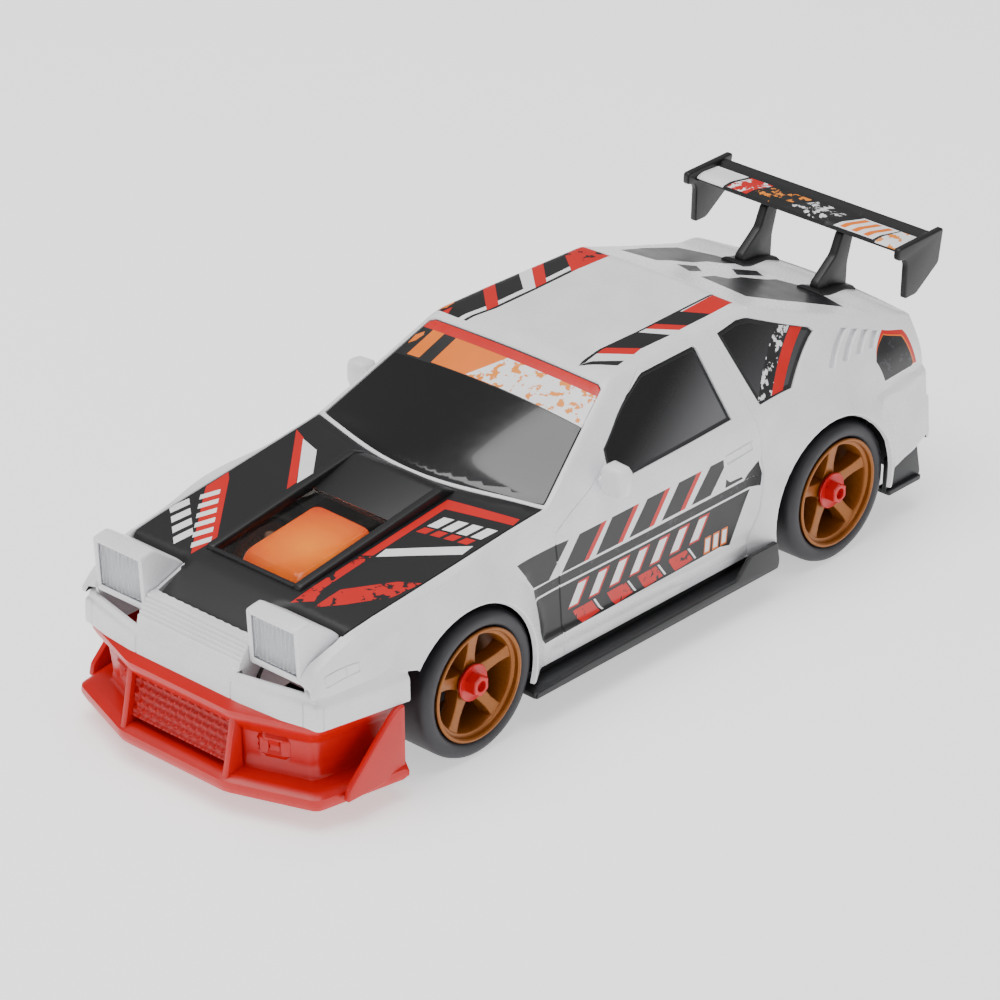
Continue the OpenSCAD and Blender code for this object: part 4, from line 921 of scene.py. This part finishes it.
# Bright aluminium film on plastic, slightly uneven
haze = add(tree, "TexNoise", {"Vector": (add(tree, "TexCoord"), "Object")}, Scale=500.0)
soft = add(tree, "MapRange", {"Value": (haze, "Fac")}, To_Min=0.22, To_Max=0.36)
wire(tree, shader, Roughness=soft)
shader.inputs["Base Color"].default_value = srgb("d9dade")
shader.inputs["Metallic"].default_value = 0.85
lens_clear, tree, shader = new_finish("clear_fluted_lens")
haze = add(tree, "TexNoise", {"Vector": (add(tree, "TexCoord"), "Object")}, Scale=220.0)
soft = add(tree, "MapRange", {"Value": (haze, "Fac")}, To_Min=0.04, To_Max=0.1)
wire(tree, shader, Roughness=soft)
shader.inputs["Base Color"].default_value = srgb("eef0f3")
shader.inputs["Transmission Weight"].default_value = 0.72
shader.inputs["IOR"].default_value = 1.35


def backed(face, back):
    """Points and faces of a closed slab between two grids of equal size, back behind face."""
    rows, columns = face.shape[:2]
    n = rows * columns
    cells = quads(rows, columns, False)
    ids = np.arange(n).reshape(rows, columns)
    rim = np.concatenate([ids[0], ids[1:, -1], ids[-1, -2::-1], ids[-2:0:-1, 0]])
    edge = np.stack([rim, np.roll(rim, -1), np.roll(rim, -1) + n, rim + n], -1)
    return np.concatenate([face.reshape(-1, 3), back.reshape(-1, 3)]), [cells[:, ::-1], cells + n, edge]


def pod_ring(y, low, high, gap, lean):
    """Upright rounded rectangle across the pod; lean carries its top forwards."""
    loop = inset(rounded([[20.8, low], [40.8, low], [40.8, high], [20.8, high]], 1.3), gap)
    return np.column_stack([loop[:, 0], y - lean * (loop[:, 1] - low) / 16, loop[:, 1]])


# y, bottom, top, inset and lean of each ring, from the hinge edge to the lens frame
pod_rings = [(-117.9, 49.4, 52.9, 0.6, 0), (-117.8, 48.9, 53.4, 0.1, 0), (-119.5, 48.5, 54.9, 0, 0),
             (-121.6, 48.2, 56.4, 0, 0), (-125.0, 46.1, 58.9, 0, 0), (-128.4, 44.0, 61.3, 0, 0),
             (-129.2, 43.7, 61.7, 0, 0), (-131.0, 43.4, 61.5, 0, 0.2), (-132.6, 43.4, 61.1, 0, 0.9),
             (-132.9, 43.4, 61.05, 0.12, 1.0), (-133.0, 43.8, 61.0, 0.45, 1.0),
             (-133.0, 43.8, 61.0, 1.35, 1.0), (-132.8, 43.8, 61.0, 1.7, 1.0),
             (-130.7, 43.8, 61.0, 1.8, 0.8)]
pod_box = np.array([pod_ring(*ring) for ring in pod_rings])
flutes = np.linspace(22.8, 38.8, 161)
heights = np.linspace(45.9, 58.9, 14)
for side, mark in ((1, "l"), (-1, "r")):
    rows, columns = pod_box.shape[:2]
    ids = quads(rows, columns)
    ends = [np.arange(columns)[None, ::-1], np.arange(columns)[None] + (rows - 1) * columns]
    blocks = [f if side < 0 else f[:, ::-1] for f in [ids] + ends]
    make("pod_housing_" + mark, (pod_box * (side, 1, 1)).reshape(-1, 3), blocks, [white_abs, reflector],
         np.concatenate([np.repeat(np.arange(rows - 1) > rows - 3, columns), [0, 1]]).astype(int),
         body="headlamp_" + mark, parts=["headlamp_pod_" + mark], group="body_white")
    gx, gz = np.meshgrid(flutes, heights, indexing="ij")
    # the lens face leans back, carries a rib every 1.6 mm and bows out across its 16 mm
    lean, ribs = 0.04 * (gz - 45.9), 0.32 * np.abs(np.cos((gx - 22.8) * math.pi / 1.6))
    bowed = -132.35 - lean - ribs - 0.25 * np.sin((gx - 22.8) / 16 * math.pi)
    points, blocks = backed(np.stack([gx * side, bowed, gz], -1),
                            np.stack([gx * side, bowed * 0 - 131.4, gz], -1))
    make("pod_lens_" + mark, points, blocks if side > 0 else [block[:, ::-1] for block in blocks],
         [lens_clear], body="headlamp_" + mark, parts=["headlamp_lens_" + mark], group="lamp_lens", crisp=60)

# ------------------------------------------------------------------ front bumper
# Red ABS moulding below the white band: concave corners, a dimpled grille behind two upright
# fins, shallow fog lamp reliefs, and a splitter with end plates. Clipped and screwed to the chassis.
bumper_red = plastic("moulded_red_abs", "c40a07", 0.3, 0.12, 0.02)
grille_red = plastic("dimpled_red_abs", "b00906", 0.4, 0.12, 0.03)
apron_path, apron_half = carried([(-52.6, -104.0), (-47.2, -134.0), (-20.6, -143.6), (20.6, -143.6),
                                  (47.2, -134.0), (52.6, -104.0)], 1.5)
apron_stations = [(5.4, 32.4), (3.4, 31.4), (3.6, 29.6), (7.4, 24.6), (8.4, 15.5), (7.8, 11.8), (6.6, 10.6),
                  (0.6, 10.1), (0.0, 9.6), (0.0, 7.8),
                  (0.5, 7.4), (9.0, 7.4)]
apron_length = along(0, apron_stations)[2]


def apron(a, b):
    """The apron's carried profile, with two framed fog lamp reliefs standing 0.8 mm proud."""
    gap, z, _ = along(b, apron_stations)
    width, height = np.abs(np.abs(a) - 34.5), np.abs(z - 20.5)
    frame = np.clip((4.6 - width) / 0.4, 0, 1) * np.clip((3.4 - height) / 0.4, 0, 1)
    dish = np.clip((3.6 - width) / 0.4, 0, 1) * np.clip((2.4 - height) / 0.4, 0, 1)
    x, y = apron_path(a, gap - (0.9 * frame - 0.7 * dish) * (gap > 2.5))
    return np.stack([x, y, z], -1)


fog_steps = ((4.6, 10.6, 17.6), (4.2, 11.0, 17.2), (3.6, 11.6, 16.6), (3.2, 12.0, 16.2))
fog_folds = [np.array([[k * (34.5 - w), low], [k * (34.5 + w), low], [k * (34.5 + w), high],
                       [k * (34.5 - w), high], [k * (34.5 - w), low]])
             for k in (-1, 1) for w, low, high in fog_steps]
moulding("bumper_apron", apron, [[-apron_half, 0.2], [apron_half, 0.2], [apron_half, apron_length - 0.4],
                                 [-apron_half, apron_length - 0.4]],
         [bumper_red, bumper_red], wall=1.4, step=1.3, outward=1, parts=["front_bumper"], group="bumper_red",
         folds=fog_folds)
gx, gz = np.meshgrid(np.linspace(-19.6, 19.6, 161), np.linspace(14.0, 30.2, 55), indexing="ij")
cell_x, cell_z = gx / 3.2, (gz - 14.0) / 2.3
shift = np.floor(cell_z) % 2 * 0.5
away = np.hypot((cell_x + shift + 50) % 1 * 2 - 1, cell_z % 1 * 2 - 1)
dent = np.clip(1.25 - 1.25 * away ** 2, 0, 1) ** 0.6
face = -141.2 + 0.18 * (gz - 14) + 0.75 * dent
points, blocks = backed(np.stack([gx, face, gz], -1), np.stack([gx, face * 0 - 137.2, gz], -1))
make("bumper_grille", points, blocks, [grille_red], group="bumper_red", crisp=60)
fin = [[-137.6, 31.6], [-139.6, 32.2], [-143.4, 13.0], [-144.2, 10.2], [-137.0, 10.2]]
tail_plate = [[-127.5, 8.2], [-126.6, 12.0], [-110.6, 27.2], [-107.6, 29.6], [-104.4, 30.2], [-104.2, 8.2]]
joined("bumper_fins", [plate(fin, 19.5, 21.5, 0, 0.5, 0.8), plate(fin, -21.5, -19.5, 0, 0.5, 0.8),
                       plate(tail_plate, 50.7, 52.7, 0, 0.5, 1.0),
                       plate(tail_plate, -52.7, -50.7, 0, 0.5, 1.0)], [bumper_red], group="bumper_red")

# ------------------------------------------------------------------ door mirrors
# White ABS shells on a short foot, pressed into the doors, with a smoke-black glass at the back.
mirror_stations = [(45.6, -16.6, -12.4, 61.6, 65.4), (46.8, -16.6, -12.4, 61.6, 65.6),
                   (47.6, -17.4, -11.9, 61.0, 69.4), (48.4, -17.8, -11.6, 60.7, 70.2),
                   (53.4, -17.4, -11.8, 60.9, 70.0), (54.8, -16.8, -12.2, 61.4, 69.4),
                   (55.6, -16.2, -12.8, 62.2, 68.4)]
for side, mark in ((1, "l"), (-1, "r")):
    rings = []
    for x, y0, y1, z0, z1 in mirror_stations:
        loop = rounded([[y0, z0], [y1, z0], [y1, z1], [y0, z1]], 1.6)
        rings.append(np.column_stack([np.full(len(loop), side * x), loop]))
    glass_edge = rounded([[48.6, 62.2], [53.8, 62.4], [53.8, 68.6], [48.6, 68.8]], 1.2)
    glass_plate = np.array([[[side * x, y, z] for x, z in glass_edge] for y in (-11.9, -11.3)])
    joined("door_mirror_" + mark, [np.array(rings)], [white_abs], parts=["mirror_" + mark],
           group="body_white", crisp=50)
    # The mirror glass takes the windshield's material, with its painted reflection
    joined("door_mirror_glass_" + mark, [glass_plate], [screen_smoke_painted_reflection])

# ------------------------------------------------------------------ side skirts and winglets
# Dark grey ABS running boards screwed under the sills, turned up at the outer rear corner, and
# two upright winglets under the rear bumper corners.
skirt_grey = plastic("moulded_dark_grey_abs", "242527", 0.42, 0.15, 0.05)
for side, mark in ((1, "l"), (-1, "r")):
    deck = np.array([[45.4, -50.5], [46.6, -52.2], [53.8, -52.4], [54.2, -51.8], [54.2, 55.8],
                     [45.4, 55.8]]) * (side, 1)
    lip = [[-52.4, 10.0], [55.8, 10.0], [56.4, 12.4], [55.2, 19.2], [43.2, 19.2], [36.9, 13.2], [-30.0, 12.8],
           [-51.6, 12.0]]
    rib = [[-50.4, 11.0], [54.0, 11.0], [54.0, 14.4], [-50.4, 14.4]]
    joined("running_board_" + mark, [plate(deck, 10.0, 12.2, 2, 0.4, 0.8),
                                     plate(lip, *sorted((side * 53.0, side * 54.6)), 0, 0.4, 0.9),
                                     plate(rib, *sorted((side * 45.8, side * 47.2)), 0, 0.4, 0.6)],
           [skirt_grey], parts=["side_skirt_" + mark], group="skirt_grey")
fins = []
for side in (1, -1):
    fin = [[114.7, 10.2], [131.2, 10.6], [132.0, 12.0], [129.2, 26.0], [127.8, 26.4], [115.0, 22.4]]
    fins += [plate(fin, *sorted((side * 46.9, side * 48.5)), 0, 0.4, 0.9),
             plate(np.array([[44.8, 115.0], [49.8, 115.0], [49.8, 131.0], [44.8, 129.0]]) * (side, 1), 10.0,
                   11.8, 2, 0.3, 0.8)]
joined("corner_winglets", fins, [skirt_grey], parts=["rear_winglets"], group="skirt_grey")

# ------------------------------------------------------------------ tail
# White ABS end panel of the shell with a black recessed lamp band and a proud bumper below it;
# the red lamp blocks are clipped in from inside.
turns = np.linspace(-112.6, 112.6, 241)
tail_edge = skin(np.full(241, 134.2), turns)[:, [0, 2]]
tail_edge = tail_edge[np.r_[True, np.hypot(*np.diff(tail_edge, axis=0).T) > 0.3]]


def tail(x, z):
    """End panel: flat above, a shallow recess for the lamps, and a bumper step below."""
    recess = (1.2 * np.clip((z - 38.6) / 0.6, 0, 1) * np.clip((50.2 - z) / 0.6, 0, 1)
              * np.clip((43.4 - np.abs(x)) / 0.6, 0, 1))
    bumper = 1.4 * np.clip((37.8 - z) / 0.8, 0, 1)
    crown = 1.0 * (1 - (x / 48) ** 2)
    return np.stack([x, 134.0 + crown - recess + bumper, z], -1)


lamp_band = np.array([[-42.8, 39.2], [42.8, 39.2], [42.8, 49.6], [-42.8, 49.6]])
plate_seat = np.array([[-13, 27.6], [13, 27.6], [13, 34.6], [-13, 34.6], [-13, 27.6]])
moulding("tail_panel", tail, tail_edge, [white_abs, ink_black, inside_painted_shade], inks=[(lamp_band, 1)], wall=1.4,
         outward=-1, group="body_white",
         grooves=[(plate_seat, 0.35, 0.4), (np.array([[-47, 50.8], [47, 50.8]]), 0.3, 0.3)])
lamp_red = plastic("clear_red_lamp_styrene", "a80d0c", 0.1, 0.2, 0.02, coat=0.4)
lamps = []
for side in (1, -1):
    for x0, x1 in ((20.2, 26.4), (27.0, 33.2), (33.8, 40.0)):
        a, b = sorted((side * x0, side * x1))
        loop = rounded([[a, 41.1], [b, 41.1], [b, 47.9], [a, 47.9]], 0.8)
        lamps.append(np.array([np.column_stack([inset(loop, gap)[:, 0], np.full(len(loop), y),
                                                inset(loop, gap)[:, 1]])
                               for y, gap in ((132.8, 0), (135.6, 0), (135.9, 0.12), (136.1, 0.35),
                                              (135.9, 0.6))]))
joined("tail_lamp_blocks", lamps, [lamp_red], parts=["tail_lamps"], group="lamp_red")

diffuser = [wall_of([[131.6, 25.0], [133.4, 25.0], [131.2, 10.6], [129.6, 10.6]], -41.0, 41.0)]
strake = [[131.0, 24.6], [134.8, 22.4], [133.4, 10.6], [127.6, 9.4], [127.6, 11.0]]
diffuser += [plate(strake, x - 0.8, x + 0.8, 0, 0.3, 0.8) for x in (-27, -9, 9, 27)]
joined("rear_diffuser", diffuser, [skirt_grey], group="skirt_grey")

# ------------------------------------------------------------------ rear wing
# Black ABS blade on two cranked stands, with a raised rear lip and two hooked end plates; the
# race graphics are printed on the blade's top.
wing_black = plastic("moulded_black_wing_abs", "18181a", 0.4, 0.15, 0.04)
blade_line = np.array([[126.9, 85.6], [127.3, 87.0], [130.2, 87.7], [137.2, 87.3], [140.3, 88.9],
                       [141.3, 88.7]])
blade_knots = np.concatenate([[0], np.cumsum(np.hypot(*np.diff(blade_line, axis=0).T))])


def blade(x, b):
    """Blade top: a rounded nose, a slightly hollow deck and a lip turned up at the rear."""
    return np.stack([x, bent_line(b, blade_knots, blade_line[:, 0], 0.5),
                     bent_line(b, blade_knots, blade_line[:, 1], 0.5)], -1)


def bars(start, gap, count, width, lean, low, high):
    """Parallel slanted bars across the blade."""
    return [[[start + i * gap, low], [start + i * gap + width, low], [start + i * gap + width + lean, high],
             [start + i * gap + lean, high]] for i in range(count)]


rear_deck = blade_knots[-3]
# Places in the blade's list of finishes
blade_red, blade_orange, blade_white, blade_speckle, blade_track, blade_fleck = range(2, 8)
blade_inks = [(np.array(loop), number) for loop, number in [
    ([[30.6, 0.8], [41.2, 0.8], [41.2, rear_deck], [33.0, rear_deck]], blade_track),
    ([[14.0, 1.6], [29.6, 1.6], [32.4, rear_deck], [18.6, rear_deck]], blade_white),
    *[(bar, blade_orange) for bar in bars(16.0, 4.6, 3, 2.2, 3.4, 2.2, rear_deck - 0.6)],
    ([[-6.0, 1.6], [9.6, 1.6], [14.2, rear_deck], [0.0, rear_deck]], blade_speckle),
    ([[-20.0, 1.6], [-7.0, 1.6], [-2.0, rear_deck], [-17.0, rear_deck]], blade_fleck),
    ([[-29.0, 1.6], [-21.0, 1.6], [-18.0, rear_deck], [-27.0, rear_deck]], blade_red),
    ([[-41.2, 0.8], [-30.4, 0.8], [-28.2, rear_deck], [-41.2, rear_deck]], blade_white)]]
ink_fleck = print_ink("orange_fleck_print", "161618", 0.1, "f08a1a", 1.3)
ink_red_track = print_ink("red_tyre_track_print", "cc0c06", 0.14, "f2f2f4", 0.9)
moulding("wing_blade_print", blade, [[-41.25, 0.1], [41.25, 0.1], [41.25, blade_knots[-1] - 0.05],
                                     [-41.25, blade_knots[-1] - 0.05]],
         [wing_black, ink_black, ink_red_track, ink_orange, ink_white, ink_speckle, ink_orange_track,
          ink_fleck, wing_black], inks=blade_inks, wall=2.0, step=1.2,
         ease=0.3, parts=["wing_blade"], group="trim_black")
end_plate = [[123, 85.3], [123.2, 89.0], [145, 89.4], [143.2, 78.4], [132.4, 71.2], [127, 71.2],
             [127.4, 82.6], [126.4, 84.6]]
joined("wing_end_plates", [plate(end_plate, *sorted((k * 41.2, k * 43.5)), 0, 0.5, 1.0) for k in (-1, 1)],
       [wing_black],
       parts=["wing_endplates"], group="trim_black")
stand = [[117.1, 62.6], [131.5, 60.6], [132.0, 74.0], [135.1, 84.6], [129.2, 84.7], [126.1, 78.0],
         [117.1, 71.0]]
for side, mark in ((1, "l"), (-1, "r")):
    joined("wing_stand_" + mark, [plate(stand, *sorted((side * 13.6, side * 16.8)), 0, 0.6, 1.2)],
           [wing_black], parts=["wing_stand_" + mark], group="trim_black")
    foot = to_top([[10.8, 114.6], [19.8, 114.6], [19.2, 133.2], [11.6, 133.2]]) * (1, side)
    moulding("wing_foot_" + mark, lowered(-1.1), foot, [wing_black, wing_black], wall=1.6, ease=0.8,
             outward=-1, group="trim_black")

# ------------------------------------------------------------------ wheels
# Bronze-painted ABS rims with five tapered spokes and a stepped lip, in satin rubber tyres with
# a rounded shoulder; a red hexagonal nut in a dished flange holds each on its axle.
def lathe(x_r, centre, turns=96):
    """Rings of a profile (x, radius) turned about the wheel's axle; the profile closes on itself."""
    x_r = np.asarray(x_r, float)
    t = np.linspace(0, 2 * math.pi, turns, endpoint=False)[:, None]
    return np.stack([np.broadcast_to(x_r[:, 0], (turns, len(x_r))) + centre[0], centre[1]
                     + x_r[:, 1] * np.cos(t), centre[2] + x_r[:, 1] * np.sin(t)], -1)


def turned(name, x_r, centre, finishes, side=1, **riding):
    """A closed ring of revolution: each profile is one ring of the net, joined round to the first."""
    rings = lathe(x_r, centre)
    rings[..., 0] = side * rings[..., 0] if side < 0 else rings[..., 0]
    rows, columns = rings.shape[:2]
    a = np.arange(rows * columns).reshape(rows, columns)
    b, c, d = np.roll(a, -1, 1), np.roll(np.roll(a, -1, 0), -1, 1), np.roll(a, -1, 0)
    faces = np.stack([a, b, c, d], -1).reshape(-1, 4)
    return make(name, rings.reshape(-1, 3), [faces if side < 0 else faces[:, ::-1]], finishes, **riding)


tyre_rubber, tree, shader = new_finish("satin_tyre_rubber")
# Moulded PVC rubber: dark grey with a bluish bloom, dull in fine patches
place = add(tree, "TexCoord")
bloom = add(tree, "TexNoise", {"Vector": (place, "Object")}, Scale=140.0, Detail=4.0)
tone = add(tree, "ValToRGB", {"Fac": (bloom, "Fac")})
tone.color_ramp.elements[0].color, tone.color_ramp.elements[1].color = srgb("1e1e22"), srgb("2a2a30")
wire(tree, shader, Base_Color=tone)
fine = add(tree, "TexNoise", {"Vector": (place, "Object")}, Scale=1800.0, Detail=2.0)
bump = add(tree, "Bump", {"Height": (fine, "Fac")}, Strength=0.15, Distance=0.0002)
wire(tree, shader, Normal=bump)
shader.inputs["Roughness"].default_value = 0.5
bronze, tree, shader = new_finish("bronze_painted_rim")
# Metallic bronze lacquer: fine flake in an amber-brown base
place = add(tree, "TexCoord")
flake = add(tree, "TexVoronoi", {"Vector": (place, "Object")}, Scale=4000.0)
tone = add(tree, "ValToRGB", {"Fac": (flake, "Distance")})
tone.color_ramp.elements[0].color, tone.color_ramp.elements[1].color = srgb("a5621e"), srgb("7d4510")
wire(tree, shader, Base_Color=tone)
shader.inputs["Metallic"].default_value = 0.35
shader.inputs["Roughness"].default_value = 0.36
nut_red = plastic("turned_red_nut", "cc0a12", 0.3)

tyre_profile = [(-8.6, 17.2), (-9.8, 18.2), (-10.4, 19.6), (-10.2, 21.2), (-9.2, 22.4), (-7.8, 22.85),
                (-6.0, 22.9), (6.0, 22.9), (7.8, 22.8),
                (9.2, 22.3), (10.1, 21.2), (10.45, 19.8), (10.2, 18.6), (9.6, 17.9), (8.8, 17.4), (7.6, 17.2)]
for corner, sign, y in (("front_l", 1, front_axle), ("front_r", -1, front_axle), ("rear_l", 1, rear_axle),
                        ("rear_r", -1, rear_axle)):
    rider = "rear_wheels" if "rear" in corner else "front_wheel_" + corner[-1]
    turned("tyre_ring_" + corner, tyre_profile, (41.8, y, axle_height), [tyre_rubber], side=sign, body=rider,
           parts=["tyre_" + corner], group="tyre", crisp=50)
barrel = [(-9.8, 16.8), (8.9, 16.8), (9.5, 17.4), (10.2, 17.5), (10.5, 17.2), (10.5, 16.7), (10.1, 16.3),
          (8.9, 16.2), (8.6, 15.9), (8.5, 15.2), (7.9, 14.9),
          (-9.4, 14.9), (-9.8, 15.2)]
hub = [(-0.8, 1.75), (-0.8, 4.6), (4.6, 5.0), (6.1, 5.0), (6.5, 4.6), (6.5, 1.75)]
dish = [(6.5, 1.75), (6.5, 4.9), (7.0, 5.5), (7.9, 5.7), (8.1, 5.5), (7.9, 5.0), (7.5, 4.0), (7.6, 1.75)]
angle = np.radians(np.arange(0, 360, 6) + 3)
six = 2.95 / np.cos((angle + math.pi / 6) % (math.pi / 3) - math.pi / 6)
hexagon = [(7.3, six), (10.6, six), (11.0, six * 0.94), (11.2, six * 0.84), (11.2, angle * 0 + 1.8),
           (11.0, angle * 0 + 1.65), (9.6, angle * 0 + 1.6)]
for corner, sign, y in (("front_l", 1, front_axle), ("front_r", -1, front_axle), ("rear_l", 1, rear_axle),
                        ("rear_r", -1, rear_axle)):
    rider = "rear_wheels" if "rear" in corner else "front_wheel_" + corner[-1]
    centre = (41.8, y, axle_height)
    turned("rim_barrel_" + corner, barrel, centre, [bronze], side=sign, body=rider, parts=["rim_" + corner],
           group="rim_bronze")
    turned("rim_hub_" + corner, hub, centre, [bronze], side=sign, body=rider, group="rim_bronze")
    spokes = []
    for i in range(5):
        turn = math.radians(90 + 72 * i)
        rings = []
        for r, half, low, high in [(3.6, 3.3, 1.6, 6.2), (5.2, 2.9, 1.8, 6.5), (8.0, 2.3, 2.6, 6.9),
                                   (11.0, 2.15, 3.0, 7.4), (14.0, 2.5, 3.0, 8.0), (15.4, 3.1, 2.8, 8.3)]:
            loop = rounded([[-half, low], [half, low], [half * 0.82, high], [-half * 0.82, high]], 0.5, 4)
            across, depth = loop.T
            rings.append(np.stack([sign * (41.8 + depth), y + r * math.cos(turn) - across * math.sin(turn),
                                   axle_height + r * math.sin(turn) + across * math.cos(turn)], -1))
        spokes.append(np.array(rings))
    joined("rim_spokes_" + corner, spokes, [bronze], body=rider, group="rim_bronze", crisp=30)
    turned("nut_dish_" + corner, dish, centre, [nut_red], side=sign, body=rider, parts=["nut_" + corner],
           group="bumper_red")
    joined("nut_hex_" + corner, [np.array([np.stack([np.full(60, sign * (41.8 + x)), y + r * np.cos(angle),
                                                     axle_height + r * np.sin(angle)], -1)
                                           for x, r in hexagon])], [nut_red], body=rider, group="bumper_red",
           crisp=30)

# ------------------------------------------------------------------ chassis and inside
# The floor, drive, steering and electronics, as measured parts with their own finishes:
# moulded black ABS, plated steel, nylon gears, brass, wrapped cells and coated circuit boards.
def metal(name, colour, rough, stretch=(1, 1, 1)):
    """Drawn or turned metal: fine streaks of about 0.3 mm, long along one axis, in the gloss."""
    finish, tree, shader = new_finish(name)
    place = add(tree, "TexCoord")
    drawn = add(tree, "Mapping", {"Vector": (place, "Object")}, Scale=stretch)
    streak = add(tree, "TexNoise", {"Vector": (drawn, "Vector")}, Scale=1200.0, Detail=3.0)
    sheen = add(tree, "MapRange", {"Value": (streak, "Fac")}, To_Min=rough - 0.08, To_Max=rough + 0.1)
    wire(tree, shader, Roughness=sheen)
    shader.inputs["Base Color"].default_value = srgb(colour)
    shader.inputs["Metallic"].default_value = 1.0
    return finish


def dress(finish, *names):
    """Give measured parts their finish."""
    for name in names:
        node = frame["nodes"][name]
        node.data.materials.clear()
        node.data.materials.append(finish)


dress(plastic("moulded_black_chassis_abs", "232325", 0.45, 0.2, 0.08), "chassis", "battery_door", "gearbox")
dress(plastic("black_acetal_steering_parts", "1c1c1e", 0.38), "knuckle_l", "knuckle_r", "tie_rod",
      "trim_dial")
dress(plastic("servo_case_nylon", "2a2c33", 0.5, 0.2, 0.08), "steering_servo")
dress(metal("zinc_plated_steel", "b9bcc2", 0.3), "chassis_screws", "door_screw", "motor")
dress(metal("ground_steel_rod", "c9cbd0", 0.22, (0.05, 1, 1)), "rear_axle", "motor_shaft", "kingpins")
dress(metal("turned_brass", "c89a48", 0.3), "pinion")
dress(metal("sintered_bronze", "a67a44", 0.45), "rear_bushes")
dress(plastic("natural_nylon_gear", "dcd8c8", 0.42), "spur_gear", "servo_horn")
dress(plastic("white_switch_cap", "e6e4dc", 0.35), "power_switch")
dress(plastic("blue_cell_wrap", "2447a8", 0.22, 0.4, 0.03), "battery_pack")
solder_mask = plastic("green_solder_mask", "1d6a38", 0.25, 0.3, 0.05)
dress(solder_mask, "circuit_board", "light_board")
